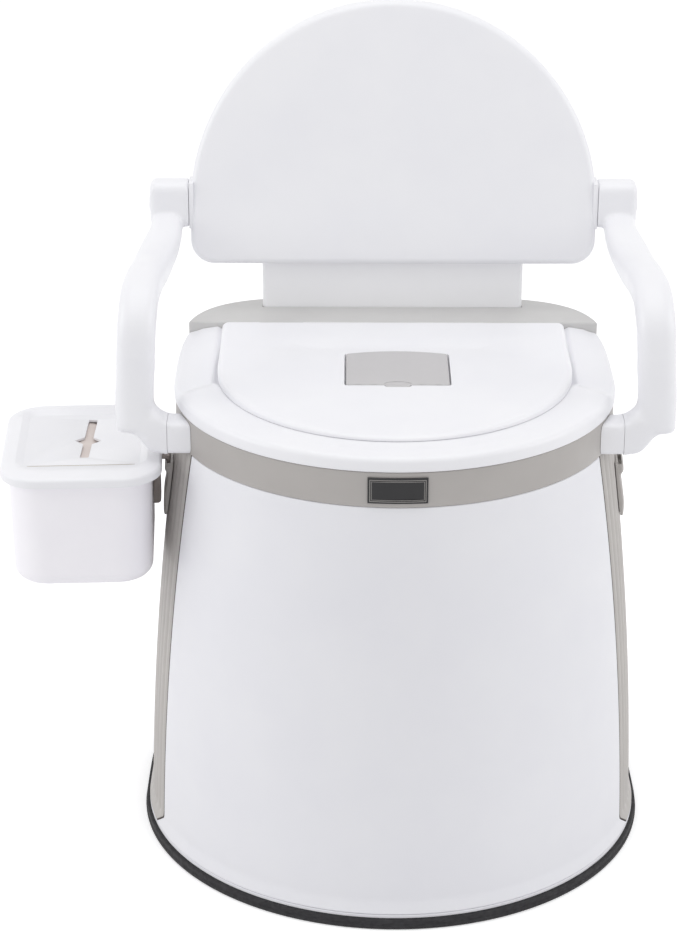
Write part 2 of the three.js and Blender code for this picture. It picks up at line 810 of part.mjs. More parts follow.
function lidPanel() {
  const under = (y) => seatTopAt(y) + gap;
  const crownEnd = lidRear - 2 * lid.crownInset;
  const loops = [
    lidOutline(0, under),
    lidOutline(0, (y) => lidTopAt(y) - lid.round),
    lidOutline(lid.round / 3, (y) => lidTopAt(y) - lid.round / 3),
    lidOutline(lid.round, lidTopAt),
    lidOutline(lid.crownInset, (y) => lidTopAt(y) + (y < crownEnd ? lid.crown : 0)),
  ];
  const [y, z] = [hingeY, hingeZ];
  const { barrel, knuckle } = hinge;
  const heel = boxBetween([-far, y, 0], [far, far, z + far]);
  const roll = crossCylinder(barrel, -lidHalfWidth, lidHalfWidth, y, z, 2 * detail.smallSides);
  const plan = lidOutline(0, () => collar.top);
  const prism = loft([plan, plan.map((p) => p.clone().setZ(z + far))]);
  const rolled = common(combine(loft(loops), [], [heel]), prism);
  const body = combine(rolled, [common(roll, prism)], []);
  const room = gap + knuckle;
  const [left, right] = [hinge.start - gap, lugEnd + gap];
  const eyeRoom = crossCylinder(room, left, right, y, z);
  const stemRoom = boxBetween([left, y - room, 0], [right, far, z]);
  const rearRoom = boxBetween([left, y, z - barrel - overrun], [right, far, z + barrel + overrun]);
  const bore = crossCylinder(hinge.bore, -hingePinEnd - gap, hingePinEnd + gap, y, z);
  const padRooms = [-1, 1].map((side) => {
    const top = under(lidBumper.y) + lidBumper.depth + gap;
    const x = side * lidBumper.side;
    return uprightCylinder(lidBumper.radius + gap, 0, top, x, lidBumper.y, detail.smallSides);
  });
  return combine(body, [], [
    eyeRoom,
    mirrored(eyeRoom),
    stemRoom,
    mirrored(stemRoom),
    rearRoom,
    mirrored(rearRoom),
    bore,
    coverPrism(cover.sideGap, recessFloor, 2 * cover.thickness),
    tabBox(gap, 2 * cover.thickness),
    trayBox(gap, recessFloor - far, 0),
    ...padRooms,
  ]);
}

function deodorantCover() {
  const bottom = cover.proud - cover.thickness;
  const bevel = cover.round;
  const settings = {
    depth: cover.thickness - bevel,
    bevelThickness: bevel,
    bevelSize: bevel,
    bevelOffset: -bevel,
    bevelSegments: 2,
    curveSegments: detail.arcSteps,
  };
  const slab = new THREE.ExtrudeGeometry(coverShape(0), settings).translate(cover.centreX, 0, bottom);
  const below = boxBetween([-far, -far, -far], [far, far, bottom]);
  const flat = combine(slab, [], [below]);
  return combine(onLidTop(flat), [tabBox(0, cover.proud - cover.round)], []);
}

function deodorantTray() {
  const top = recessFloor + gap + tray.flangeThickness;
  const bottom = recessFloor - tray.depth;
  const outer = trayBox(0, bottom, top);
  const flange = trayBox(tray.flange, recessFloor + gap, top);
  const inner = trayBox(-tray.wall, bottom + tray.wall, top + overrun);
  const pitch = (2 * (trayHalfWidth - tray.wall)) / traySlot.count;
  const slots = Array.from({ length: traySlot.count }, (_, i) => {
    const x = cover.centreX + (i - (traySlot.count - 1) / 2) * pitch;
    const reach = trayHalfLength - traySlot.inset;
    const low = [x - traySlot.width / 2, coverMiddle - reach, bottom - overrun];
    const high = [x + traySlot.width / 2, coverMiddle + reach, bottom + tray.wall + gap];
    return onLidTop(boxBetween(low, high));
  });
  return combine(outer, [flange], [inner, ...slots]);
}

function deodorantBlock() {
  const bottom = recessFloor - tray.depth + tray.wall + gap;
  const rows = [
    [block.bevel, bottom],
    [0, bottom + block.bevel],
    [0, bottom + block.height - block.bevel],
    [block.bevel, bottom + block.height],
  ];
  const loops = rows.map(([inset, z]) => {
    const inside = tray.wall + block.margin + inset;
    const [half, length] = [trayHalfWidth - inside, trayHalfLength - inside];
    const corners = [[-half, -length], [half, -length], [half, length], [-half, length]];
    return corners.map(([x, y]) => new THREE.Vector3(cover.centreX + x, coverMiddle + y, z));
  });
  return onLidTop(loft(loops));
}

// Backrest, drawn upright with its front face at Y = 0 and its lower edge at Z = 0, then leaned back

function leaned(geometry) {
  return geometry.rotateX(-backrest.lean).translate(0, backrestFrontY, backrestBottom);
}

function backrestLoop(inset, depth) {
  const half = backrest.halfWidth - inset;
  const corner = backrest.cornerRadius - inset;
  const domeSteps = detail.panelSteps + 2;
  const dome = Array.from({ length: domeSteps + 1 }, (_, i) => {
    const angle = (Math.PI * i) / domeSteps;
    return [half * Math.cos(angle), backrest.straightTop + half * Math.sin(angle)];
  });
  const cornerSteps = detail.arcSteps / 2;
  const cornerAt = (side, begin) =>
    Array.from({ length: cornerSteps + 1 }, (_, i) => {
      const angle = begin + (Math.PI / 2) * (i / cornerSteps);
      const [x, z] = [corner * Math.cos(angle), corner * Math.sin(angle)];
      return [side * (half - corner) + x, inset + corner + z];
    });
  const points = [...dome, ...cornerAt(-1, Math.PI), ...cornerAt(1, -Math.PI / 2)];
  return points.map(([x, z]) => new THREE.Vector3(x, depth, z));
}

function backrestFront() {
  const { edgeRound, frontDepth, wall } = backrest;
  const turn = Math.PI / 4;
  const outer = loft([
    backrestLoop(edgeRound, 0),
    backrestLoop(edgeRound * (1 - Math.sin(turn)), edgeRound * (1 - Math.cos(turn))),
    backrestLoop(0, edgeRound),
    backrestLoop(0, frontDepth),
  ]);
  const inner = loft([backrestLoop(edgeRound, wall), backrestLoop(wall, frontDepth + overrun)]);
  return combine(leaned(outer), [], [leaned(inner), postRoom(), pivotRoom()]);
}

function postRoom() {
  return sleeveBox(gap, backrestBottom - backrest.thickness, postTop + gap);
}

// The pivot's boss stands in the rear shell, and the front shell keeps clear of it
function pivotRoom() {
  const reach = backrest.halfWidth - backrest.wall;
  const right = crossCylinder(pivot.boss + gap, reach - pivot.bossDepth - gap, reach, pivotY, pivotZ);
  const pinWay = crossCylinder(pivot.bore, reach - overrun, reach + 2 * backrest.wall, pivotY, pivotZ);
  return combine(right, [mirrored(right), pinWay, mirrored(pinWay)], []);
}

function backrestRear() {
  const { rearRound, frontDepth, thickness, wall, halfWidth } = backrest;
  const start = frontDepth + gap;
  const outer = loft([
    backrestLoop(0, start),
    backrestLoop(0, thickness - rearRound),
    backrestLoop(rearRound / 3, thickness - rearRound / 3),
    backrestLoop(rearRound, thickness),
  ]);
  const inner = loft([
    backrestLoop(wall, start - overrun),
    backrestLoop(rearRound + wall, thickness - wall),
  ]);
  const reach = halfWidth - wall / 2;
  const boss = crossCylinder(pivot.boss, reach - pivot.bossDepth, reach, pivotY, pivotZ);
  const [halfEar, halfHeight] = [pivot.earWidth / 2, arm.blockHeight / 2];
  const earLow = [halfWidth - wall, pivotY - halfEar, pivotZ - halfHeight];
  const ear = boxBetween(earLow, [halfWidth + pivot.ear, pivotY + halfEar, pivotZ + halfHeight]);
  const boreStart = reach - pivot.bossDepth + wall;
  const bore = crossCylinder(pivot.bore, boreStart, halfWidth + overrun, pivotY, pivotZ);
  const backingLow = [-post.halfWidth, thickness - 3 * wall, 0];
  const backing = leaned(boxBetween(backingLow, [post.halfWidth, thickness, wall]));
  const cored = combine(leaned(outer), [], [leaned(inner)]);
  const sideLow = [halfWidth - wall - gap, -pivot.earWidth, 0];
  const frontShellSide = leaned(boxBetween(sideLow, [armOuter, start, halfWidth]));
  const sides = combine(boss, [ear], [frontShellSide]);
  const bossed = combine(cored, [sides, mirrored(sides), backing, ...screwSeats()], []);
  return combine(bossed, [], [bore, mirrored(bore), postRoom(), ...screwPlaces().map(screwHole)]);
}

function backrestPost() {
  const low = [-post.halfWidth, post.front, postBottom];
  const blank = boxBetween(low, [post.halfWidth, postBack, postTop]);
  return combine(blank, [], screwPlaces().map(screwHole));
}

// Screws that hold the post, driven in from behind

function screwPlaces() {
  const outer = post.halfWidth - screw.sideInset;
  return [-1, -1 / 3, 1 / 3, 1].map((share) => share * outer);
}

const screwZ = postTop - screw.drop;
const screwSeatY = postBack + 2 * gap + backrest.wall;

function screwSeats() {
  return screwPlaces().map((x) => {
    const width = screw.headRadius + backrest.wall;
    const low = [x - width, postBack - gap, screwZ - width];
    return boxBetween(low, [x + width, screwSeatY, screwZ + width]);
  });
}

function alongY(radius, front, back, x, z) {
  const cylinder = new THREE.CylinderGeometry(radius, radius, back - front, detail.smallSides);
  return cylinder.translate(x, (front + back) / 2, z);
}

function screwHole(x) {
  const tip = screwSeatY - screw.length;
  const shaft = alongY(screw.shaftRadius + gap, tip - gap, screwSeatY + overrun, x, screwZ);
  const head = alongY(screw.headRadius + gap, screwSeatY, screwSeatY + backrest.thickness, x, screwZ);
  return combine(shaft, [head], []);
}

function postScrew(x) {
  const tip = screwSeatY - screw.length;
  const headStart = screwSeatY + gap;
  const shaft = alongY(screw.shaftRadius, tip, headStart + gap, x, screwZ);
  const head = alongY(screw.headRadius, headStart, headStart + screw.headHeight, x, screwZ);
  return combine(shaft, [head], []);
}

// Arms, drawn for the right side

function armRoute() {
  const start = [(armInner + armOuter) / 2, pivotY, pivotZ];
  const end = [armEnd + arm.elbowOuter - arm.halfWidth, arm.postY, elbowBottom];
  return arm.routeShares.map((shares) => {
    const place = shares.map((share, i) => THREE.MathUtils.lerp(start[i], end[i], share));
    return new THREE.Vector3(...place);
  });
}

function armTube() {
  const curve = new THREE.CatmullRomCurve3(armRoute(), false, 'centripetal');
  const across = new THREE.Vector3(1, 0, 0);
  const narrow = (armOuter - armInner) / 2 - gap;
  const loops = curve.getSpacedPoints(detail.tubeSteps).map((centre, i) => {
    const share = i / detail.tubeSteps;
    const halfWidth = THREE.MathUtils.lerp(narrow, arm.halfWidth, Math.min(1, share / arm.widenShare));
    const tangent = curve.getTangentAt(share);
    const side = across.clone().addScaledVector(tangent, -across.dot(tangent)).normalize();
    const up = new THREE.Vector3().crossVectors(tangent, side);
    return Array.from({ length: detail.tubeSides }, (_, j) => {
      const turn = (2 * Math.PI * j) / detail.tubeSides;
      const round = (value) => Math.sign(value) * Math.abs(value) ** (2 / arm.sectionPower);
      const wide = halfWidth * round(Math.cos(turn));
      const high = arm.halfHeight * round(Math.sin(turn));
      return centre.clone().addScaledVector(side, wide).addScaledVector(up, high);
    });
  });
  return loft(loops);
}

function armElbow() {
  const [start, end] = [armEnd + arm.elbowStart, armEnd + arm.elbowEnd];
  const [inner, outer] = [armEnd + arm.elbowInner, armEnd + arm.elbowOuter];
  const top = elbowBottom + arm.elbowHeight;
  const middle = (start + end) / 2;
  const round = arm.elbowFillet / 2;
  const shape = new THREE.Shape();
  shape.moveTo(armEnd, armEndBottom);
  shape.lineTo(start, armEndBottom);
  shape.bezierCurveTo(middle, armEndBottom, middle, elbowBottom, end, elbowBottom);
  shape.lineTo(outer - round, elbowBottom);
  shape.quadraticCurveTo(outer, elbowBottom, outer, elbowBottom + round);
  shape.lineTo(outer, top);
  shape.lineTo(inner, top);
  shape.lineTo(inner, armEndTop + arm.elbowFillet);
  shape.quadraticCurveTo(inner, armEndTop, armEnd, armEndTop);
  return slabBetween(shape, arm.postY - arm.halfHeight, arm.postY + arm.halfHeight);
}

function armBlock() {
  const half = arm.blockDepth / 2;
  const high = arm.blockHeight / 2;
  const round = arm.blockRound;
  const rows = [
    [armInner, 0],
    [armOuter - arm.blockEdge, 0],
    [armOuter - arm.blockEdge / 4, arm.blockEdge / 4],
    [armOuter, arm.blockEdge],
  ];
  const cornerPoints = 2 * detail.arcSteps;
  const loops = rows.map(([x, inset]) => {
    const corners = [];
    for (let i = 0; i < cornerPoints; i++) {
      const angle = (2 * Math.PI * (i + 0.5)) / cornerPoints;
      const cornerY = Math.sign(Math.cos(angle)) * (half - round);
      const cornerZ = Math.sign(Math.sin(angle)) * (high - round);
      const reach = round - inset;
      const y = pivotY + cornerY + reach * Math.cos(angle);
      corners.push(new THREE.Vector3(x, y, pivotZ + cornerZ + reach * Math.sin(angle)));
    }
    return corners;
  });
  return loft(loops);
}

function armBody() {
  const blockPart = armBlock();
  const bore = crossCylinder(pivot.bore, armInner - overrun, armOuter + overrun, pivotY, pivotZ);
  return combine(blockPart, [armTube(), armElbow()], [bore]);
}

function pivotPin() {
  const inner = backrest.halfWidth - backrest.wall / 2 - pivot.bossDepth + backrest.wall + gap;
  return crossCylinder(pivot.pin, inner, armOuter, pivotY, pivotZ);
}

function pivotCap() {
  const start = armOuter + gap;
  const end = start + armCap.thickness;
  return crossCylinder(armCap.radius, start, end, pivotY, pivotZ, 2 * detail.smallSides);
}

function armSocket() {
  const low = [0, arm.postY - arm.halfHeight, armEndBottom];
  const high = [armEnd - gap, arm.postY + arm.halfHeight, armEndTop];
  const collarSpace = planPrism(collarRadius + gap, armEndBottom - overrun, armEndTop + overrun);
  return combine(boxBetween(low, high), [], [collarSpace]);
}

// Side brackets and the paper box

function bracketBody() {
  const { y, height, width, tipRadius, round } = bracket;
  const shape = new THREE.Shape();
  const half = width / 2;
  shape.moveTo(-half, -round);
  shape.quadraticCurveTo(-half, 0, round - half, 0);
  shape.lineTo(half - round, 0);
  shape.quadraticCurveTo(half, 0, half, -round);
  shape.lineTo(half, -height / 2);
  shape.bezierCurveTo(half, tipRadius - height, tipRadius, -height, 0, -height);
  shape.bezierCurveTo(-tipRadius, -height, -half, tipRadius - height, -half, -height / 2);
  const settings = { depth: far, bevelEnabled: false, curveSegments: detail.arcSteps };
  const outline = new THREE.ExtrudeGeometry(shape, settings);
  outline.rotateX(Math.PI / 2).rotateZ(Math.PI / 2).translate(0, y, bracketTop);
  const [low, high] = [bracketTop - height - overrun, bracketTop + overrun];
  const faceLoop = (z) =>
    [[0, -1], [1, -1], [1, 1], [0, 1]].map(
      ([out, side]) => new THREE.Vector3(out * bracketFaceAt(z), y + side * width, z),
    );
  const wall = housingEnvelope(gap, low - overrun, high + overrun);
  const layer = common(loft([faceLoop(low), faceLoop(high)]), outline);
  const body = combine(layer, [], [bracketScrewHole(), pocketRoom(), pocketWindow()]);
  return combine(body.rotateZ(bracketTurn), [], [wall]);
}

const bracketTurn = THREE.MathUtils.degToRad(bracket.turn);

// The outer face of a bracket runs straight between its thickness at the top and at the foot
function bracketFaceAt(z) {
  const share = (bracketTop - z) / bracket.height;
  const head = radiusAt(bracketTop) + bracket.topThickness;
  const tip = radiusAt(bracketTop - bracket.height) + bracket.footThickness;
  return THREE.MathUtils.lerp(head, tip, share);
}

const pocketInner = bracketFaceAt(bracketTop) - pocket.inset;
const pocketThickness = hook.tongueThickness + 2 * gap;
const hookWidth = pocket.width - 2 * hook.sideGap;

function pocketRoom() {
  const half = pocket.width / 2;
  const low = [pocketInner - pocketThickness / 2, bracket.y - half, bracketTop - pocket.depth];
  return boxBetween(low, [pocketInner + pocketThickness / 2, bracket.y + half, bracketTop + overrun]);
}

// A small opening in the front edge of the bracket, through which the pocket shows
function pocketWindow() {
  const half = pocketThickness / 2;
  const front = bracket.y - bracket.width;
  const low = [pocketInner - half, front, bracketTop - pocket.windowHeight];
  return boxBetween(low, [pocketInner + half, bracket.y, bracketTop + overrun]);
}

const bracketScrewZ = bracketTop - bracketScrew.drop;
const bracketScrewSeat = bracketFaceAt(bracketScrewZ) - 2 * bracketScrew.headHeight;

function bracketScrewHole() {
  const { headRadius, shaftRadius, length } = bracketScrew;
  const end = bracketScrewSeat - length;
  const shaft = crossCylinder(shaftRadius + gap, end, bracketScrewSeat + gap, bracket.y, bracketScrewZ);
  const head = crossCylinder(headRadius + gap, bracketScrewSeat, far, bracket.y, bracketScrewZ);
  return combine(shaft, [head], []);
}

function bracketScrewBody() {
  const { headRadius, shaftRadius, headHeight } = bracketScrew;
  const start = bracketScrewSeat + gap;
  const tip = radiusAt(bracketScrewZ) + gap;
  const head = crossCylinder(headRadius, start, start + headHeight, bracket.y, bracketScrewZ);
  const shaft = crossCylinder(shaftRadius, tip, start + gap, bracket.y, bracketScrewZ);
  return combine(head, [shaft], []).rotateZ(bracketTurn);
}

const boxTop = bracketTop + box.rise;
const boxBottom = boxTop - box.height;
const boxX = -(bracketFaceAt(bracketTop) + box.stand + box.halfWidth);
const boxY = bracket.y - box.shiftY;
const boxLidX = boxX + boxLid.shiftX;
const boxLidHalfWidth = box.halfWidth + boxLid.sideOverhang;
const boxLidHalfLength = box.halfLength + boxLid.endOverhang;

// The sides of X and Y that the four corners of the box are on, in turn
const cornerSides = [[1, 1], [-1, 1], [-1, -1], [1, -1]];

function roundedLoop(centreX, halfWidth, halfLength, corner, z, centreY = boxY) {
  const steps = detail.arcSteps / 2;
  return cornerSides.flatMap(([sideX, sideY], quarter) =>
    Array.from({ length: steps + 1 }, (_, i) => {
      const angle = (Math.PI / 2) * (quarter + i / steps);
      const x = centreX + sideX * (halfWidth - corner) + corner * Math.cos(angle);
      const y = centreY + sideY * (halfLength - corner) + corner * Math.sin(angle);
      return new THREE.Vector3(x, y, z);
    }),
  );
}

function boxLoop(inset, z) {
  const rise = (z - boxBottom) / (boxTop - boxBottom);
  const half = box.halfWidth - box.sideTaper * (1 - rise) - inset;
  const length = box.halfLength - box.endTaper * (1 - rise) - inset;
  return roundedLoop(boxX, half, length, Math.max(box.corner - inset, box.corner / 2), z);
}

function paperBox() {
  const { wall, footRound, flange } = box;
  const shell = loft([
    boxLoop(footRound, boxBottom),
    boxLoop(footRound / 4, boxBottom + footRound / 3),
    boxLoop(0, boxBottom + footRound),
    boxLoop(0, boxTop),
  ]);
  const reach = boxLid.wall + gap;
  const rimLoop = (z) =>
    roundedLoop(
      boxLidX,
      boxLidHalfWidth - reach,
      boxLidHalfLength - reach,
      boxLid.corner - reach,
      z,
    );
  const rim = loft([rimLoop(boxTop - flange), rimLoop(boxTop)]);
  const inside = loft([
    boxLoop(footRound + wall, boxBottom + wall),
    boxLoop(wall, boxBottom + footRound + wall),
    boxLoop(wall, boxTop + overrun),
  ]);
  return combine(shell, [rim], [inside]).rotateZ(-bracketTurn);
}

function slotCross(bottom, top) {
  const { slotLength, slotWidth, crossLength, crossWidth } = boxLid;
  const x = boxLidX - boxLid.slotShift;
  const y = boxY + boxLid.slotBack;
  const long = boxBetween(
    [x - slotWidth / 2, y - slotLength / 2, bottom],
    [x + slotWidth / 2, y + slotLength / 2, top],
  );
  const crossY = boxY - boxLid.crossForward;
  const loopAt = (z) =>
    [[-crossLength / 2, 0], [0, -crossWidth / 2], [crossLength / 2, 0], [0, crossWidth / 2]].map(
      ([acrossX, acrossY]) => new THREE.Vector3(x + acrossX, crossY + acrossY, z),
    );
  return combine(long, [loft([loopAt(bottom), loopAt(top)])], []);
}

function paperBoxLid() {
  const { corner, wall, round } = boxLid;
  const [top, bottom] = [boxTop + boxLid.rise, boxTop - boxLid.overlap];
  const panel = top - boxLid.panelDrop;
  const loopAt = (inset, z) => {
    const [half, length] = [boxLidHalfWidth - inset, boxLidHalfLength - inset];
    return roundedLoop(boxLidX, half, length, Math.max(corner - inset, corner / 3), z);
  };
  const outer = loft([
    loopAt(0, bottom),
    loopAt(0, top - round),
    loopAt(round / 3, top - round / 3),
    loopAt(round, top),
  ]);
  const under = loft([loopAt(wall, bottom - overrun), loopAt(wall, boxTop + gap)]);
  const { dishSide, dishBack, dishFront, dishCorner, dishSlope } = boxLid;
  const dishLength = boxLidHalfLength - (dishBack + dishFront) / 2;
  const dishY = boxY + (dishFront - dishBack) / 2;
  const dishLoop = (inset, z) => {
    const [half, length] = [boxLidHalfWidth - dishSide - inset, dishLength - inset];
    return roundedLoop(boxLidX, half, length, dishCorner - inset, z, dishY);
  };
  const dish = loft([dishLoop(dishSlope, panel), dishLoop(0, top), dishLoop(0, top + overrun)]);
  const { grooveLength, grooveWidth, grooveDepth } = boxLid;
  const grooveY = boxY - boxLidHalfLength + dishFront + dishSlope + boxLid.grooveInset;
  const groove = boxBetween(
    [boxLidX - grooveLength / 2, grooveY - grooveWidth / 2, panel - grooveDepth],
    [boxLidX + grooveLength / 2, grooveY + grooveWidth / 2, top],
  );
  const slots = slotCross(boxTop - overrun, top + overrun);
  return combine(outer, [], [under, dish, groove, slots]).rotateZ(-bracketTurn);
}

function boxHook() {
  const wallX = -(boxX + box.halfWidth) + gap;
  const top = bracketTop + gap + hook.bridge;
  const shape = new THREE.Shape();
  const outerX = wallX - hook.plate;
  const tongueX = pocketInner + hook.tongueThickness / 2;
  const tongueStart = tongueX - hook.tongueThickness;
  shape.moveTo(wallX, top - hook.length);
  shape.lineTo(wallX, top);
  shape.lineTo(tongueStart, top);
  shape.lineTo(tongueStart, bracketTop - hook.tongue);
  shape.lineTo(tongueX, bracketTop - hook.tongue);
  shape.lineTo(tongueX, bracketTop + gap);
  shape.lineTo(outerX, bracketTop + gap);
  shape.lineTo(outerX, top - hook.length);
  const slab = slabBetween(shape, bracket.y - hookWidth / 2, bracket.y + hookWidth / 2);
  const wallSpace = mirrored(loft([boxLoop(-gap, boxBottom + box.footRound), boxLoop(-gap, boxTop)]));
  return mirrored(combine(slab, [], [wallSpace])).rotateZ(-bracketTurn);
}

// Assembly

addPiece('anti_slip_ring', footRing(), black);
addPiece('base_pan', basePan(), white);
addPiece('front_shell', frontShell(), white);
addPiece('rear_shell', rearShell(), white);
addPiece('collar', collarRing(), grey);
addPiece('rear_deck', rearDeck(), paleGrey);
addPiece('badge_plate', badgePlate(), dark);
addPiece('bucket', bucketPail(), bucketGrey);
addPiece('bucket_bail', bucketBail(), steel);
addPiece('bail_grip', bailGrip(), black);
addPiece('seat_ring', seatRing(), glossWhite);
addPiece('lid', lidPanel(), glossWhite);
addPiece('deodorant_cover', deodorantCover(), paleGrey);
addPiece('deodorant_tray', deodorantTray(), white);
addPiece('deodorant_block', deodorantBlock(), scented);
addPiece('backrest_front', backrestFront(), glossWhite);
addPiece('backrest_rear', backrestRear(), glossWhite);
addPiece('backrest_post', backrestPost(), glossWhite);
addPiece('paper_box', paperBox(), white);
addPiece('paper_box_lid', paperBoxLid(), glossWhite);
addPiece('paper_box_hook', boxHook(), grey);

screwPlaces().forEach((x, i) => addPiece(`post_screw_${i + 1}`, postScrew(x), steel));

const bumperPlaces = {
  front: [seatRadius - seatBumper.frontInset, seatBumper.front],
  rear: [seatRadius - seatBumper.rearInset, seatBumper.rear],
};
for (const [end, [x, y]] of Object.entries(bumperPlaces)) {
  const { radius } = seatBumper;
  const top = seatBottom + seat.channel - gap;
  const bumper = uprightCylinder(radius, collar.top + gap, top, x, y, detail.smallSides);
  addPiece(`seat_bumper_${end}_right`, bumper, black);
  addPiece(`seat_bumper_${end}_left`, mirrored(bumper), black);
}

const padBottom = seatTopAt(lidBumper.y) + gap;
const pad = uprightCylinder(
  lidBumper.radius,
  padBottom,
  padBottom + lidBumper.depth,
  lidBumper.side,
  lidBumper.y,
  detail.smallSides,
);
const hingePin = crossCylinder(hinge.pin, hinge.start + hinge.pinInset, hingePinEnd, hingeY, hingeZ);

// Pieces that come in a left and a right hand
function addPair(name, geometry, material) {
  addPiece(`${name}_right`, geometry, material);
  addPiece(`${name}_left`, mirrored(geometry), material);
}

addPair('side_pillar', sidePillar(), grey);
addPair('arm_socket', armSocket(), glossWhite);
addPair('arm', armBody(), glossWhite);
addPair('arm_pivot_pin', pivotPin(), steel);
addPair('arm_cap', pivotCap(), glossWhite);
addPair('hinge_pin', hingePin, steel);
addPair('lid_bumper', pad, black);
addPair('bracket_screw', bracketScrewBody(), steel);
addPair('side_bracket', bracketBody(), grey);

export default toilet;
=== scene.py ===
"""Portable camping toilet: the look of the object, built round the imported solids.

Sizes are in millimetres in the tables below and become metres when a mesh is made.
The front faces -Y, the origin is on the floor under the centre of the round front.
"""
import json
import math

import bmesh
import bpy
import numpy as np
from mathutils import Matrix, Vector

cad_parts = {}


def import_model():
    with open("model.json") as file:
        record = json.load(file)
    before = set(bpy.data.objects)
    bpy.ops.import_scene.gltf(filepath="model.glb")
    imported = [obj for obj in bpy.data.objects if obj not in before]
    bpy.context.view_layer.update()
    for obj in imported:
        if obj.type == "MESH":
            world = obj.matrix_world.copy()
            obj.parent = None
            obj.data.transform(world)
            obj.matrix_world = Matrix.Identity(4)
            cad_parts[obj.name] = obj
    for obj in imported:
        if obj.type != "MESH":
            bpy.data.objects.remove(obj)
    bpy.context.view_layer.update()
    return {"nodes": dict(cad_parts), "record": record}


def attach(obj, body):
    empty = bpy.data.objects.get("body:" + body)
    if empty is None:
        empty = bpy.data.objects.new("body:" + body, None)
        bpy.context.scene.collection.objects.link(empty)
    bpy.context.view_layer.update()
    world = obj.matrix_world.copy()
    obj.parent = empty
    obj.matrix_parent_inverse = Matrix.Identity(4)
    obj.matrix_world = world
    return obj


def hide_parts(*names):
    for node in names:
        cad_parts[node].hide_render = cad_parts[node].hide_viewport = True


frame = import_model()

MM = 0.001
GAP = 0.3
scene = bpy.context.scene
record = frame["record"]
BODY_OF = {node: body for body, nodes in record["behaviour"]["bodies"].items() for node in nodes}
SLOT_OF = {row["node"]: row["material_slot"] for row in record["subparts"]}

# Sizes

TOP_RADIUS, FOOT_RADIUS, BULGE, WALL = 187.3, 216.95, 5.29, 3.0
LIP_REACH, LIP_TOP = 3.3, 24.0
REAR_SHARE, CORNER_POWER, SEAM = 0.88, 4.0, 78.0
WALL_START, COLLAR_BOTTOM, COLLAR_TOP, COLLAR_RADIUS = 13.2, 369.5, 399.5, 187.6
RING_RADIUS, RING_HEIGHT, PAN_RADIUS, PAN_BOTTOM, PAN_TOP = 223.8, 9.0, 220.0, 9.3, 12.2
CURB_OUTER, CURB_INNER, CURB_TOP = 209.5, 204.5, 28.2
DECK_FRONT, DECK_TOP, DECK_RADIUS = 92.0, 428.0, 186.5
PAIL_Y, PAIL_RIM, PAIL_RADIUS, PAIL_FOOT, PAIL_BOTTOM = -42.0, 134.0, 122.0, 104.0, 62.0
SEAT_RADIUS, SEAT_BOTTOM, SEAT_FRONT, SEAT_REAR = 188.6, 400.1, 413.0, 417.4
HOLE_HALF_X, HOLE_HALF_Y = 95.0, 110.0
HINGE_Y, HINGE_Z = 85.0, 424.0
LID_HALF, LID_CENTRE, LID_LENGTH, LID_REAR = 151.0, -5.0, 152.0, 91.0
LID_FRONT_TOP, LID_REAR_TOP = 417.5, 430.0
LID_SLOPE = (LID_REAR_TOP - LID_FRONT_TOP) / (HINGE_Y + LID_LENGTH - LID_CENTRE)
SEAT_SLOPE = (SEAT_REAR - SEAT_FRONT) / (HINGE_Y + SEAT_RADIUS)
COVER_X, COVER_HALF, COVER_FRONT, COVER_REAR, COVER_ARCH = 2.0, 43.5, -54.0, 12.5, 6.0
COVER_THICK, COVER_PROUD = 4.6, 1.2
POST_HALF, POST_FRONT, POST_BACK, POST_BOTTOM, POST_TOP = 117.0, 134.0, 150.0, 345.0, 519.0
REST_Y, REST_BOTTOM, REST_LEAN = 122.0, 472.0, math.radians(8)
REST_HALF, REST_CORNER, REST_STRAIGHT, REST_THICK, REST_SPLIT = 180.3, 21.0, 52.0, 30.0, 10.0
PIVOT_Y, PIVOT_Z = 140.5, 523.8
ARM_INNER, ARM_OUTER, ARM_END = 181.8, 214.8, 190.5
ARM_Y, ARM_HALF_Y, ARM_HALF_X = -63.5, 15.0, 16.0
ARM_TOP, ARM_BOTTOM, ELBOW_BOTTOM, ELBOW_OUTER = 397.6, 369.3, 386.8, 234.0
BLOCK_OUTER = 216.3  # the arm's block reaches past the seat of its cap
BRACKET_TURN = math.radians(3.4)  # the left bracket and the box are turned so, the right one against it
BRACKET_TOP, BRACKET_HEIGHT, BRACKET_HALF, BRACKET_FACE = 342.0, 54.0, 17.0, 198.7
BOX_X, BOX_Y, BOX_HALF_X, BOX_HALF_Y, BOX_BOTTOM, BOX_TOP = -268.1, -8.8, 59.8, 81.5, 257.0, 355.0
LIDB_X, LIDB_HALF_X, LIDB_HALF_Y, LIDB_BOTTOM, LIDB_TOP = -267.3, 67.6, 87.0, 353.0, 361.0

FAR = 260.0  # past the housing's rear and sides, for the blocks that cut
HALF_PI = math.pi / 2
LUG, LUG_ROOM = 3.9, 4.2
SEAT_LUG, DECK_LUG, LUG_NOTCH, LUG_SPACE = (80.0, 99.7), (100.0, 118.0), (99.7, 118.3), (79.7, 118.3)
BAIL_REACH, BAIL_Z = 112, 387.2
SCREWS_X, SCREW_Z, SCREW_PAD, SCREW_FACE_Y = (-90, -30, 30, 90), 508, 7.5, 153.6
BLOCK_HALF_Y, BLOCK_HALF_Z, BLOCK_CORNER, EAR_HALF_Y = 13.5, 20.75, 8.0, 12
POCKET_X, BOX_FOOT = BRACKET_FACE - 3.9, 12
GROOVE_Y = BOX_Y - LIDB_HALF_Y + 38.5

FINE = 1


def steps(count):
    return max(8, count // FINE)


def smoothstep(value, low, high):
    t = np.clip((np.asarray(value, float) - low) / (high - low), 0, 1)
    return t * t * (3 - 2 * t)


# Meshes

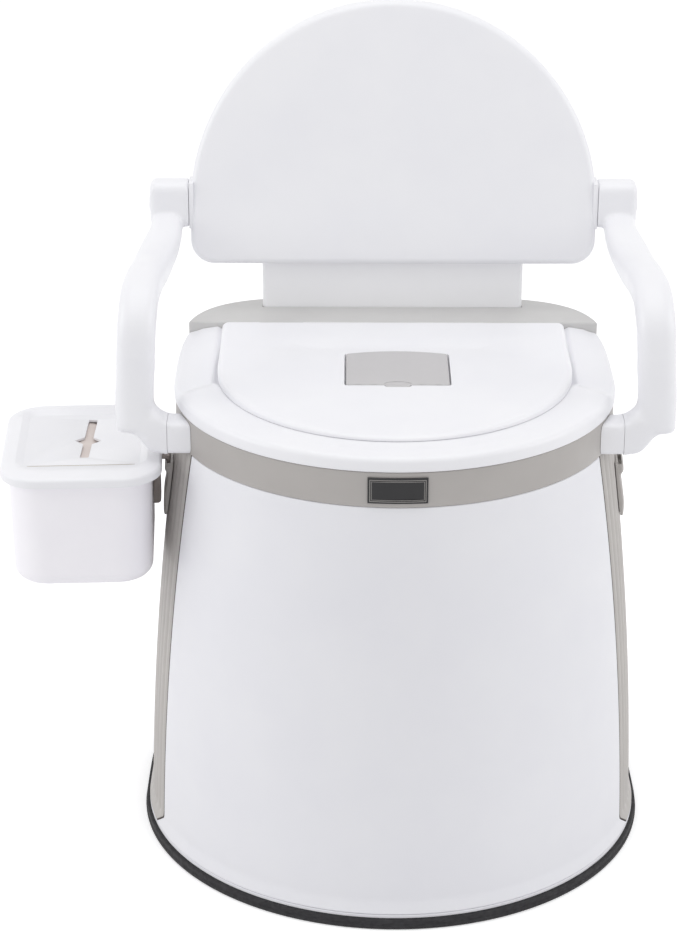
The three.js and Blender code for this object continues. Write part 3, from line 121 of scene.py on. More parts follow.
def new_object(name, points, faces):
    mesh = bpy.data.meshes.new(name)
    mesh.from_pydata((np.asarray(points, float) * MM).tolist(), [], faces)
    made = bpy.data.objects.new(name, mesh)
    scene.collection.objects.link(made)
    return made


def weld(obj, distance=0.002):
    bm = bmesh.new()
    bm.from_mesh(obj.data)
    bmesh.ops.remove_doubles(bm, verts=bm.verts, dist=distance * MM)
    bmesh.ops.dissolve_degenerate(bm, edges=bm.edges, dist=distance * MM)
    bmesh.ops.recalc_face_normals(bm, faces=bm.faces)
    bm.to_mesh(obj.data)
    bm.free()
    return obj


def loft(name, rings, closed=False):
    """Joins rings of equal length; a closed run has no end caps."""
    rings = np.asarray(rings, float)
    count, size = rings.shape[0], rings.shape[1]
    points = rings.reshape(-1, 3)
    faces = []
    for i in range(count if closed else count - 1):
        k = (i + 1) % count
        for j in range(size):
            n = (j + 1) % size
            faces.append((i * size + j, i * size + n, k * size + n, k * size + j))
    if not closed:
        faces.append(tuple(range(size - 1, -1, -1)))
        faces.append(tuple((count - 1) * size + j for j in range(size)))
    return weld(new_object(name, points, faces))


def prism(name, outline, bottom, top):
    return loft(name, [[(x, y, z) for x, y in outline] for z in (bottom, top)])


def box_mesh(name, low, high):
    (a, b, c), (d, e, f) = low, high
    return prism(name, [(a, b), (d, b), (d, e), (a, e)], c, f)


def tube_mesh(name, radius, start, end, sides):
    """A plain round bar between two points."""
    start, end = Vector(start), Vector(end)
    turn = (end - start).to_track_quat("Z", "Y")
    ring = [turn @ Vector((radius * math.cos(a), radius * math.sin(a), 0)) for a in turns(sides)]
    return loft(name, [[tuple(start + p) for p in ring], [tuple(end + p) for p in ring]])


def rod(name, radius, low, high, y, z, sides=48):
    """A round bar along X."""
    return tube_mesh(name, radius, (low, y, z), (high, y, z), sides)


def upright(name, radius, x, y, bottom, top, sides):
    """A round bar along Z."""
    return tube_mesh(name, radius, (x, y, bottom), (x, y, top), sides)


def behind(name, y, bottom, top):
    """A block that reaches from this depth out past the rear and the sides."""
    return box_mesh(name, (-FAR, y, bottom), (FAR, FAR, top))


def both_sides(near, far):
    """The X range between two distances from the middle, first on the left, then on the right."""
    return (-far, -near), (near, far)


def turns(count):
    return np.linspace(0, 2 * math.pi, count, endpoint=False)


def rectangle(x, y, half_x, half_y):
    return [(x + a * half_x, y + b * half_y) for a, b in ((-1, -1), (1, -1), (1, 1), (-1, 1))]


def flat_arc(x, y, radius, start, end, count):
    return [(x + radius * math.cos(a), y + radius * math.sin(a)) for a in np.linspace(start, end, count + 1)]


def bezier(points, count):
    """Points along a cubic curve."""
    a, b, c, d = np.array(points, float)
    t = np.linspace(0, 1, count)[:, None]
    return (1 - t) ** 3 * a + 3 * (1 - t) ** 2 * t * b + 3 * (1 - t) * t * t * c + t ** 3 * d


def lathe(name, profile, centre=(0, 0), sides=96):
    """Turns (radius, z) points about a vertical line; the profile starts and ends on it."""
    rings = [flat_arc(*centre, radius, 0, 2 * math.pi, sides)[:-1] for radius, _ in profile]
    return loft(name, [[(x, y, z) for x, y in ring] for ring, (_, z) in zip(rings, profile)])


def fillet(points, radii, count=5, closed=True):
    """Rounds the corners of a flat outline, each by its own radius."""
    out = []
    size = len(points)
    for i, (p, radius) in enumerate(zip(points, radii)):
        p = np.array(p, float)
        if radius <= 0 or (not closed and i in (0, size - 1)):
            out.append(p)
            continue
        a = np.array(points[i - 1], float) - p
        b = np.array(points[(i + 1) % size], float) - p
        long_a, long_b = np.linalg.norm(a), np.linalg.norm(b)
        a, b = a / long_a, b / long_b
        half = math.acos(float(np.clip(a @ b, -1, 1))) / 2
        if half > 1.55:
            out.append(p)
            continue
        back = min(radius / math.tan(half), 0.49 * long_a, 0.49 * long_b)
        radius = back * math.tan(half)
        middle = (a + b) / np.linalg.norm(a + b)
        centre = p + middle * radius / math.sin(half)
        first, last = p + a * back - centre, p + b * back - centre
        angle = math.pi - 2 * half
        for k in range(count + 1):
            t = k / count
            v = (math.sin((1 - t) * angle) * first + math.sin(t * angle) * last) / math.sin(angle)
            out.append(centre + v)
    return np.array(out)


def modified(obj, kind, **settings):
    """The object with one modifier set and applied."""
    tool = obj.modifiers.new(kind, kind)
    for key, value in settings.items():
        setattr(tool, key, value)
    graph = bpy.context.evaluated_depsgraph_get()
    mesh = bpy.data.meshes.new_from_object(obj.evaluated_get(graph), depsgraph=graph)
    obj.modifiers.clear()
    old = obj.data
    obj.data = mesh
    bpy.data.meshes.remove(old)
    return obj


def boolean(obj, others, operation="DIFFERENCE"):
    for other in others:
        modified(obj, "BOOLEAN", operation=operation, solver="EXACT", object=other)
        bpy.data.objects.remove(other)
    return weld(obj)


def bevel(obj, width, count=3, angle=40):
    return modified(obj, "BEVEL", width=width * MM, segments=count, limit_method="ANGLE",
                    angle_limit=math.radians(angle), use_clamp_overlap=True, miter_outer="MITER_ARC")


def mirror(obj, name):
    made = bpy.data.objects.new(name, obj.data.copy())
    scene.collection.objects.link(made)
    made.data.transform(Matrix.Diagonal((-1, 1, 1, 1)))
    made.data.flip_normals()
    return made


def move(obj, matrix):
    obj.data.transform(matrix)
    return obj


def shade(obj, angle=38):
    obj.data.shade_smooth()
    obj.data.set_sharp_from_angle(angle=math.radians(angle))
    return obj


# Materials

def linear(rgb):
    return tuple((c / 255 / 12.92) if c <= 10.3 else ((c / 255 + 0.055) / 1.055) ** 2.4 for c in rgb) + (1.0,)


def wire(tree, kind, inputs=None, **settings):
    """A new node; each input is a plain value or another node's output."""
    made = tree.nodes.new(kind)
    for key, value in settings.items():
        setattr(made, key, value)
    for key, value in (inputs or {}).items():
        if isinstance(value, bpy.types.NodeSocket):
            tree.links.new(value, made.inputs[key])
        else:
            made.inputs[key].default_value = value
    return made


class Nodes:
    """Short names for making a material's nodes."""

    def __init__(self, name):
        self.material = bpy.data.materials.new(name)
        self.material.use_nodes = True
        self.tree = self.material.node_tree
        self.shader = self.tree.nodes["Principled BSDF"]
        self.place = self.tree.nodes.new("ShaderNodeTexCoord").outputs["Object"]

    def noise(self, scale, detail=2.0, rough=0.5, stretch=None):
        place = self.place
        if stretch:
            place = wire(self.tree, "ShaderNodeMapping", {"Vector": place, "Scale": stretch}).outputs[0]
        inputs = {"Vector": place, "Scale": scale, "Detail": detail, "Roughness": rough}
        return wire(self.tree, "ShaderNodeTexNoise", inputs).outputs["Fac"]

    def ramp(self, source, low, high, start=0.35, end=0.65):
        inputs = {"Value": source, "From Min": start, "From Max": end, "To Min": low, "To Max": high}
        return wire(self.tree, "ShaderNodeMapRange", inputs).outputs["Result"]

    def mix(self, factor, first, second):
        return wire(self.tree, "ShaderNodeMix", {0: factor, 6: first, 7: second}, data_type="RGBA").outputs[2]

    def link(self, source, socket):
        self.tree.links.new(source, self.shader.inputs[socket])

    def bump(self, height, strength, distance, under=None):
        inputs = {"Height": height, "Strength": strength, "Distance": distance}
        if under is not None:
            inputs["Normal"] = under
        return wire(self.tree, "ShaderNodeBump", inputs).outputs["Normal"]


def plastic(name, rgb, shadow_rgb, rough, grain, grain_scale, specular=0.5, flow=0.12):
    """Moulded plastic: fine surface grain, a slight flow unevenness and faint colour mottling."""
    n = Nodes(name)
    mottle = n.ramp(n.noise(14.0, 3.0, 0.55), 0.0, 1.0, 0.3, 0.7)
    n.link(n.mix(mottle, linear(rgb), linear(shadow_rgb)), "Base Color")
    n.link(n.ramp(n.noise(60.0, 3.0, 0.6), rough - 0.04, rough + 0.05), "Roughness")
    flowing = n.bump(n.noise(35.0, 2.0, 0.5, (1.0, 1.0, 0.45)), flow, 0.0006)
    n.link(n.bump(n.noise(grain_scale, 2.0, 0.6), grain, 0.00005, flowing), "Normal")
    n.shader.inputs["Specular IOR Level"].default_value = specular
    return n.material


def rubber(name, rgb, dust_rgb, rough):
    """Black rubber with a fine matt texture and a little dust."""
    n = Nodes(name)
    dust = n.ramp(n.noise(90.0, 4.0, 0.65), 0.0, 1.0, 0.5, 0.8)
    n.link(n.mix(dust, linear(rgb), linear(dust_rgb)), "Base Color")
    n.link(n.ramp(n.noise(300.0, 2.0), rough - 0.08, rough + 0.08), "Roughness")
    n.link(n.bump(n.noise(2200.0, 3.0, 0.7), 0.5, 0.00008), "Normal")
    return n.material


def metal(name, rgb, rough):
    """Zinc-plated steel with fine drawn lines."""
    n = Nodes(name)
    lines = n.noise(900.0, 3.0, 0.6, (0.05, 1.0, 1.0))
    n.link(n.mix(n.ramp(lines, 0.0, 1.0), linear(rgb), linear(tuple(c - 25 for c in rgb))), "Base Color")
    n.link(n.ramp(lines, rough - 0.06, rough + 0.1), "Roughness")
    n.link(n.bump(lines, 0.15, 0.00003), "Normal")
    n.shader.inputs["Metallic"].default_value = 1.0
    return n.material


MATERIALS = {
    "white_shell": plastic("shell_white", (236, 236, 240), (233, 233, 238), 0.42, 0.2, 1700.0),
    "gloss_white": plastic("gloss_white", (243, 243, 246), (240, 240, 244), 0.32, 0.05, 1200.0),
    "grey_trim": plastic("warm_grey", (190, 186, 182), (185, 181, 178), 0.48, 0.35, 1400.0),
    "pale_grey_trim": plastic("pale_grey", (207, 206, 205), (203, 202, 201), 0.45, 0.3, 1400.0),
    "bucket_plastic": plastic("pail_grey", (169, 167, 164), (163, 161, 158), 0.5, 0.4, 1300.0),
    "black_rubber": rubber("black_rubber", (33, 32, 35), (48, 47, 50), 0.75),
    "black_grip": rubber("black_grip", (38, 38, 40), (48, 48, 50), 0.6),
    "dark_plate": plastic("dark_plate", (17, 16, 19), (22, 21, 24), 0.35, 0.15, 1600.0),
    "scented_block": plastic("scented_wax", (159, 196, 176), (150, 188, 168), 0.55, 0.5, 700.0, flow=0.3),
    "steel": metal("zinc_steel", (190, 192, 196), 0.32),
}
for name, *look in (("collar_grey", (180, 176, 173), (175, 171, 168), 0.42, 0.2, 1500.0),
                    ("flap_grey", (199, 197, 198), (195, 193, 194), 0.42, 0.25, 1500.0),
                    # Painted light: a brighter copy of the gloss white for the post, lifting it out of the
                    # backrest's shade.
                    ("post_lit_white", (250, 250, 252), (248, 248, 250), 0.32, 0.05, 1200.0),
                    ("body_white", (253, 251, 255), (250, 248, 253), 0.4, 0.2, 1600.0),
                    # Painted shadow: the brownish grey of the strip that darkens the box lid's groove.
                    ("groove_shadow_brown", (196, 188, 182), (186, 178, 172), 0.6, 0.3, 1500.0),
                    # Partly painted shade: the hook's grey is darkened for the shade of the box above it.
                    ("hook_shaded_grey", (170, 160, 156), (162, 152, 148), 0.5, 0.3, 1400.0),
                    ("plate_line", (150, 147, 144), (140, 137, 134), 0.35, 0.1, 1600.0)):
    MATERIALS[name] = plastic(name, *look)
MATERIALS["paper"] = plastic("paper", (232, 222, 217), (224, 213, 208), 0.9, 0.6, 500.0, specular=0.1)
# Painted shadow: the dark colour of the strips laid in the seam gaps, where the gaps' shade falls.
MATERIALS["seal_dark"] = rubber("seal_dark", (60, 52, 48), (74, 66, 61), 0.7)


def paint(obj, key):
    obj.data.materials.clear()
    obj.data.materials.append(MATERIALS[key])
    return obj


def stand_in(obj, *nodes, look=None, angle=38):
    """Finishes a piece that stands for CAD nodes: smooth shading, the material of their slot or the given
    look, body, and hides the nodes.
    """
    shade(obj, angle)
    slot = SLOT_OF[nodes[0]]
    paint(obj, look or slot)
    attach(obj, BODY_OF[nodes[0]])
    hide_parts(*nodes)
    return obj


def pair(obj, node, look=None, angle=38):
    """The right piece and its mirrored twin on the left."""
    twin = mirror(obj, obj.name.replace("_right", "_left"))
    stand_in(obj, node + "_right", look=look, angle=angle)
    stand_in(twin, node + "_left", look=look, angle=angle)


def extra(obj, look, body, angle=38):
    """Finishes a piece that only the scene has."""
    shade(obj, angle)
    paint(obj, look)
    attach(obj, body)


# Camera

CAMERA_PLACE, CAMERA_DOWN, CAMERA_YAW, CAMERA_ROLL = (-38.815, -1999.635, 1156.17), 22.503, -0.235, 0.052
FOCAL_PIXELS, TALL_PIXELS, SENSOR = 2488.281, 932, 36.0


def make_camera():
    down, yaw, roll = (math.radians(v) for v in (CAMERA_DOWN, CAMERA_YAW, CAMERA_ROLL))
    ahead = Vector((math.sin(yaw) * math.cos(down), math.cos(yaw) * math.cos(down), -math.sin(down)))
    right = Vector((math.cos(yaw), -math.sin(yaw), 0))
    up = right.cross(ahead)
    right, up = (right * math.cos(roll) + up * math.sin(roll), up * math.cos(roll) - right * math.sin(roll))
    data = bpy.data.cameras.new("camera")
    data.sensor_fit, data.sensor_height = "VERTICAL", SENSOR
    data.lens = FOCAL_PIXELS * SENSOR / TALL_PIXELS
    data.clip_start, data.clip_end = 0.05, 50.0
    camera = bpy.data.objects.new("camera", data)
    scene.collection.objects.link(camera)
    turn = Matrix((right, up, -ahead)).transposed().to_4x4()
    camera.matrix_world = Matrix.Translation(Vector(CAMERA_PLACE) * MM) @ turn
    scene.camera = camera


make_camera()

# Plan outline


def plan_reach(angle, size):
    angle, size = np.broadcast_arrays(np.asarray(angle, float), np.asarray(size, float))
    side = np.abs(np.cos(angle) / size) ** CORNER_POWER
    back = np.abs(np.sin(angle) / (size * REAR_SHARE)) ** CORNER_POWER
    rear = (side + back) ** (-1 / CORNER_POWER)
    return np.where(np.sin(angle) <= 0, size, rear)


def plan_points(angle, size, z):
    reach = plan_reach(angle, size)
    x, y = reach * np.cos(angle), reach * np.sin(angle)
    return np.stack(np.broadcast_arrays(x, y, np.asarray(z, float)), axis=-1)


def plan_loop(size, z):
    return plan_points(turns(steps(288)), size, z)


def plan_ring(name, profile):
    """A closed band round the plan outline, from a closed profile of (size, z)."""
    sizes, heights = np.asarray(profile, float).T
    return loft(name, plan_points(turns(steps(288))[:, None], sizes, heights), True)


def plan_prism(name, size, bottom, top):
    return loft(name, [plan_loop(size, bottom), plan_loop(size, top)])


def angle_at_depth(y, size):
    if y <= 0:
        return math.asin(y / size)
    back = (y / (size * REAR_SHARE)) ** CORNER_POWER
    return math.atan2(y, size * (1 - back) ** (1 / CORNER_POWER))


def radius_at(z):
    rise = (z - WALL_START) / (COLLAR_BOTTOM - WALL_START)
    return FOOT_RADIUS + (TOP_RADIUS - FOOT_RADIUS) * rise + 4 * BULGE * rise * (1 - rise)


# Foot

RING_PROFILE = [(RING_RADIUS - inset, z) for inset, z in (
    (0, 0), (0, 3.4), (0.8, 4.1), (0.6, RING_HEIGHT), (22, RING_HEIGHT), (22, 0), (14, 0), (14, 1.4),
    (8, 1.4), (8, 0))]
ring = plan_ring("anti_slip_ring_fine", fillet(RING_PROFILE, [1.6, 0.5, 0.5, 1.5, 1, 1] + [0.4] * 4, 4))
stand_in(ring, "anti_slip_ring")

PAN_PROFILE = [(PAN_RADIUS, PAN_BOTTOM), (PAN_RADIUS, PAN_TOP), (CURB_OUTER, PAN_TOP), (CURB_OUTER, CURB_TOP),
               (CURB_INNER, CURB_TOP), (CURB_INNER, PAN_TOP)]


def base_pan():
    outer = fillet(PAN_PROFILE, [0.9, 0.8, 1, 1.2, 1.2, 2], 4, closed=False)
    rings = [plan_loop(60, PAN_BOTTOM), plan_loop(140, PAN_BOTTOM)]
    rings += [plan_loop(size, z) for size, z in outer]
    rings += [plan_loop(140, PAN_TOP), plan_loop(60, PAN_TOP)]
    pan = loft("base_pan_fine", rings)
    stub = lathe("stub", [(0.5, 0), (43.5, 0), (45, 1.5), (45, 10.5), (0.5, 10.5)])
    return boolean(pan, [stub], "UNION")


stand_in(base_pan(), "base_pan")

# Housing walls


def dense_shares(count, length, edge):
    """Shares of a run of this length, with extra points near both ends for the rounded edge."""
    near = edge / length * np.sin(np.linspace(0, HALF_PI, 5)) ** 2 * 1.02
    middle = np.linspace(near[-1], 1 - near[-1], count)
    return np.concatenate([near[:-1], middle, 1 - near[:-1][::-1]])


def wall_heights(count):
    low, high = PAN_TOP + GAP, COLLAR_BOTTOM - GAP
    near = np.array([0, 0.25, 0.6, 1.0])
    lip = np.linspace(low + 1, LIP_TOP + 10, 26)
    middle = np.linspace(lip[-1], high - 1, count)
    return np.concatenate([low + near[:-1], lip[:-1], middle, high - near[:-1][::-1]])


def lip_reach(z):
    """How far the walls flare out just above the foot: a straight skirt with a soft crease."""
    share = (LIP_TOP - z) / (LIP_TOP - PAN_TOP - GAP)
    return LIP_REACH * (0.5 * (share + math.sqrt(share * share + 0.02))) ** 1.15


SEAM_GAP, SEAM_HOOK, SEAM_LOW, SEAM_HIGH = 1.9, 11.0, 12.5, 21.8
# Thickness and sinking of the dark strips that paint the shadow in the seam gaps.
SHADOW_STRIP_THICK, SHADOW_STRIP_DEEP = 3.0, 0.45
FLUTES, FLUTE_DEPTH, FLUTE_LOOK = 12, 2.6, 2.8
RELIEF_LOW, RELIEF_HIGH = 17, 30


def wall_panel(name, first, last, count, wall, relief=None, edge=1.2):
    """A curved panel between two depths, or with last left out from a depth round to the same on the left."""
    rings = []
    low, high = PAN_TOP + GAP, COLLAR_BOTTOM - GAP
    for z in wall_heights(steps(56)):
        size = radius_at(z) + min(lip_reach(z), LIP_REACH)
        lip = min(z - low, high - z, 1.0)
        size_outer = size - (1 - math.sqrt(max(0.0, 1 - (1 - lip) ** 2)))
        a = angle_at_depth(first(z), size)
        b = angle_at_depth(last(z), size) if last else math.copysign(math.pi, a) - a
        length = abs(b - a) * size
        shares = dense_shares(count, length, edge)
        near = np.clip(np.minimum(shares, 1 - shares) * length, 0, edge)
        rounding = edge - np.sqrt(np.maximum(0, edge ** 2 - (edge - near) ** 2))
        angles = a + (b - a) * shares
        faded = relief(shares) * float(smoothstep(z, RELIEF_LOW, RELIEF_HIGH)) if relief else 0
        outer = plan_points(angles, size_outer - faded - rounding, z)
        inner = plan_points(angles[::-1], size - wall, z)
        rings.append(np.concatenate([outer, inner]))
    return loft(name, rings)


def seam_at(z):
    """Where the front panel ends: straight, but curling back over the pillar at the foot."""
    return -SEAM + SEAM_HOOK * float(np.clip((SEAM_HIGH - z) / (SEAM_HIGH - SEAM_LOW), 0, 1))


def flutes(shares):
    return FLUTE_LOOK * (1 - np.abs(np.sin(math.pi * FLUTES * shares)) ** 0.8)


front = wall_panel("front_shell_fine", lambda z: seam_at(z) - GAP / 2, None, steps(200), WALL)
stand_in(front, "front_shell")
rear = wall_panel("rear_shell_fine", lambda z: SEAM + GAP / 2, None, steps(240), WALL)
stand_in(rear, "rear_shell")
pillar = wall_panel("side_pillar_right_fine", lambda z: seam_at(z) + SEAM_GAP, lambda z: SEAM - SEAM_GAP,
                    steps(216), WALL + FLUTE_DEPTH, flutes, 0.6)
pair(pillar, "side_pillar")

# Dark strips of painted shadow in the seams between the front and rear panels and the pillars.
for place, first, last in (("front", lambda z: seam_at(z) + 0.15, lambda z: seam_at(z) + SEAM_GAP - 0.25),
                           ("rear", lambda z: SEAM - SEAM_GAP + 0.25, lambda z: SEAM - 0.15)):
    shadow_strip = wall_panel(f"seam_seal_{place}_right", first, last, 3, SHADOW_STRIP_THICK, lambda shares: SHADOW_STRIP_DEEP, 0.2)
    for strip in (shadow_strip, mirror(shadow_strip, shadow_strip.name.replace("_right", "_left"))):
        extra(strip, "seal_dark", BODY_OF["front_shell"], 40)


# Collar and deck


def sleeve(name, grow, bottom, top):
    reach = POST_HALF + grow
    return box_mesh(name, (-reach, POST_FRONT - grow, bottom), (reach, POST_BACK + grow, top))


COLLAR_WALL = 4


def collar_ring():
    inside, below = COLLAR_RADIUS - COLLAR_WALL, COLLAR_TOP - COLLAR_WALL
    corners = [(40, below), (inside, below), (inside, COLLAR_BOTTOM), (COLLAR_RADIUS, COLLAR_BOTTOM),
               (COLLAR_RADIUS, COLLAR_TOP), (40, COLLAR_TOP)]
    profile = fillet(corners, [0, 1.5, 0.5, 0.7, 0.9, 0], 4, closed=False)
    bell = loft("collar_fine", [plan_loop(size, z) for size, z in profile])
    rooms = [upright("room", radius, 0, PAIL_Y, COLLAR_TOP - depth, COLLAR_TOP + 5, 144)
             for radius, depth in ((128, 12), (PAIL_RIM + GAP, 2.4))]
    return boolean(bell, rooms + [sleeve("slot", 2.7, COLLAR_BOTTOM - 3, COLLAR_TOP + 3)])


stand_in(collar_ring(), "collar", look="collar_grey")


def rear_deck():
    bottom = COLLAR_TOP + GAP
    outer = plan_prism("rear_deck_fine", DECK_RADIUS, bottom, DECK_TOP)
    boolean(outer, [behind("rear", DECK_FRONT, bottom - 5, DECK_TOP + 5)], "INTERSECT")
    bevel(outer, 1.5, 4, 50)
    hollow = plan_prism("hollow", DECK_RADIUS - 4, bottom - 4, DECK_TOP - 4)
    boolean(hollow, [behind("inside", DECK_FRONT + 4, bottom - 5, DECK_TOP)], "INTERSECT")
    boolean(outer, [hollow])
    boolean(outer, [sleeve("sleeve", 2.4, POST_BOTTOM - 4, DECK_TOP - 2)], "UNION")
    for low, high in both_sides(*DECK_LUG):
        eye = rod("eye", LUG, low, high, HINGE_Y, HINGE_Z)
        stem = box_mesh("stem", (low, HINGE_Y - LUG, bottom), (high, HINGE_Y + LUG, HINGE_Z))
        web = box_mesh("web", (low, HINGE_Y, bottom), (high, DECK_FRONT + 2, bottom + 4))
        boolean(outer, [eye, stem, web], "UNION")
    return boolean(outer, [sleeve("slot", GAP, POST_BOTTOM - 1, DECK_TOP + 5)])


stand_in(rear_deck(), "rear_deck")

# Badge plate


def badge():
    """The bare plate on the collar, and the two thin lines of its border."""
    half, high, near, thick, count = 24.0, 11.0, COLLAR_RADIUS + GAP, 1.6, 24
    middle = (COLLAR_BOTTOM + COLLAR_TOP) / 2

    def outline(inset, out):
        box = np.array(rectangle(0, 0, half - inset, high - inset))
        flat = [box[i] + (box[(i + 1) % 4] - box[i]) * k / count for i in range(4) for k in range(count)]
        bend = [(x / COLLAR_RADIUS, middle + z) for x, z in flat]
        return [((near + out) * math.sin(turn), -(near + out) * math.cos(turn), z) for turn, z in bend]

    plate = loft("badge_plate_fine", [outline(0.3, 0), outline(0, 0.4), outline(0, thick - 0.5),
                                      outline(0.5, thick)])
    borders = []
    for inset, width in ((1.6, 0.55), (3.0, 0.35)):
        rows = [outline(inset + across, thick + rise)
                for across, rise in ((0, -0.1), (0, 0.08), (width, 0.08), (width, -0.1))]
        borders.append(loft("border", np.swapaxes(np.array(rows), 0, 1), True))
    return plate, borders


plate, borders = badge()
stand_in(plate, "badge_plate")
for number, line in enumerate(borders):
    line.name = f"badge_border_{number + 1}"
    extra(line, "plate_line", "root")

# Pail and its bail

PAIL_PROFILE = [(0.5, PAIL_BOTTOM + 3), (70, PAIL_BOTTOM + 3), (74, PAIL_BOTTOM), (PAIL_FOOT, PAIL_BOTTOM),
                (PAIL_RADIUS, 397.4), (PAIL_RIM, 397.4), (PAIL_RIM, 399.2), (PAIL_RADIUS - 2.5, 399.2),
                (PAIL_FOOT - 2.5, PAIL_BOTTOM + 2.5), (0.5, PAIL_BOTTOM + 5)]
pail = lathe("bucket_fine", fillet(PAIL_PROFILE, [0, 2, 2, 6, 0.8, 0.7, 0.7, 1.2, 7, 0], 4, closed=False),
             (0, PAIL_Y), steps(144))
boolean(pail, [rod("hole", 2.7, -140, 140, PAIL_Y, BAIL_Z, 24)])
stand_in(pail, "bucket")


def arc_rod(name, radius_of, start, end, count):
    """A bar bent along the bail, its radius given by the share of the way."""
    rings = []
    for i in range(count + 1):
        angle = start + (end - start) * i / count
        section = flat_arc(BAIL_REACH, BAIL_Z, radius_of(i / count), 0, 2 * math.pi, 24)[:-1]
        rings.append([(reach * math.cos(angle), PAIL_Y + reach * math.sin(angle), z) for reach, z in section])
    return loft(name, rings)


bail = arc_rod("bucket_bail_fine", lambda t: 2.2, 0, math.pi, steps(96))
for low, high in both_sides(111.0, 122.0):
    boolean(bail, [rod("stub", 2.1, low, high, PAIL_Y, BAIL_Z, 24)], "UNION")
stand_in(bail, "bucket_bail")

GRIP_TURN, GRIP_RIBS = math.pi / 9, 9


def grip_radius(t):
    """The grip's ribs, and its ends drawn in."""
    return 5.4 + 0.5 * math.cos(2 * math.pi * GRIP_RIBS * t) - 2.2 * (abs(2 * t - 1) ** 14)


grip = arc_rod("bail_grip_fine", grip_radius, HALF_PI - GRIP_TURN, HALF_PI + GRIP_TURN, 90)
stand_in(grip, "bail_grip")

# Seat


def lid_distance(x, y):
    """About how far a point is outside the lid's outline, in millimetres."""
    x, y = np.abs(np.asarray(x, float)), np.asarray(y, float)
    front = np.hypot(x / LID_HALF, np.minimum(y - LID_CENTRE, 0) / LID_LENGTH)
    return (front - 1) * LID_HALF


def seat_plain(y):
    return SEAT_REAR + (y - HINGE_Y) * SEAT_SLOPE


WING_Z, WING_FRONT, WING_LENGTH, WING_RISE, WING_FALL = 410.3, -15, 107, 14.7, 5.0
RAMP_X, RAMP_START, RAMP_END, CHANNEL_DEEP = 182, -29, -61, 3.2
LID_STEPS = (6.5, 5.0, 3.8, 2.7, 1.7, 0.7, -0.3, -1.2, -2.4, -3.8, -6.2)


def seat_top(x, y):
    """Height of the seat's top: level under the lid, and beside it two wings that rise to the rear."""
    x, y = np.abs(np.asarray(x, float)), np.asarray(y, float)
    away = lid_distance(x, y)
    across = np.clip((x - LID_HALF) / 30, 0, 1.2)
    wing = WING_Z + (y - WING_FRONT) / WING_LENGTH * (WING_RISE - WING_FALL * across)
    start = RAMP_START + (RAMP_X - x) * 0.35
    end = RAMP_END + (RAMP_X - x) * 1.1
    ramp = smoothstep((y - end) / np.maximum(start - end, 8), 0, 1) * smoothstep(away, -3.5, -1.0)
    beside = (1 - smoothstep(away, -0.5, 6.0)) * smoothstep(away, -6.0, -3.0)
    return seat_plain(y) + (wing - seat_plain(y)) * ramp - CHANNEL_DEEP * beside * smoothstep(y, -40, -18)


def hole_points(angle, inset):
    return (HOLE_HALF_X - inset) * np.cos(angle), PAIL_Y + (HOLE_HALF_Y - inset) * np.sin(angle)


def lid_crossing(outer, inner, grow):
    """The share of the way from the rim to the hole at which the lid's outline, grown so, is crossed."""
    low, high = 0.0, 1.0
    for _ in range(24):
        middle = (low + high) / 2
        x, y = outer + (inner - outer) * middle
        low, high = (middle, high) if lid_distance(x, y) > grow else (low, middle)
    return high


HOLLOW_TOP, HOLLOW_REAR, HEEL_Y, HEEL_TOP, STEM_FOOT, NOTCH_DEEP = 406.6, 75.1, 87, 405.1, 408.4, 5.1


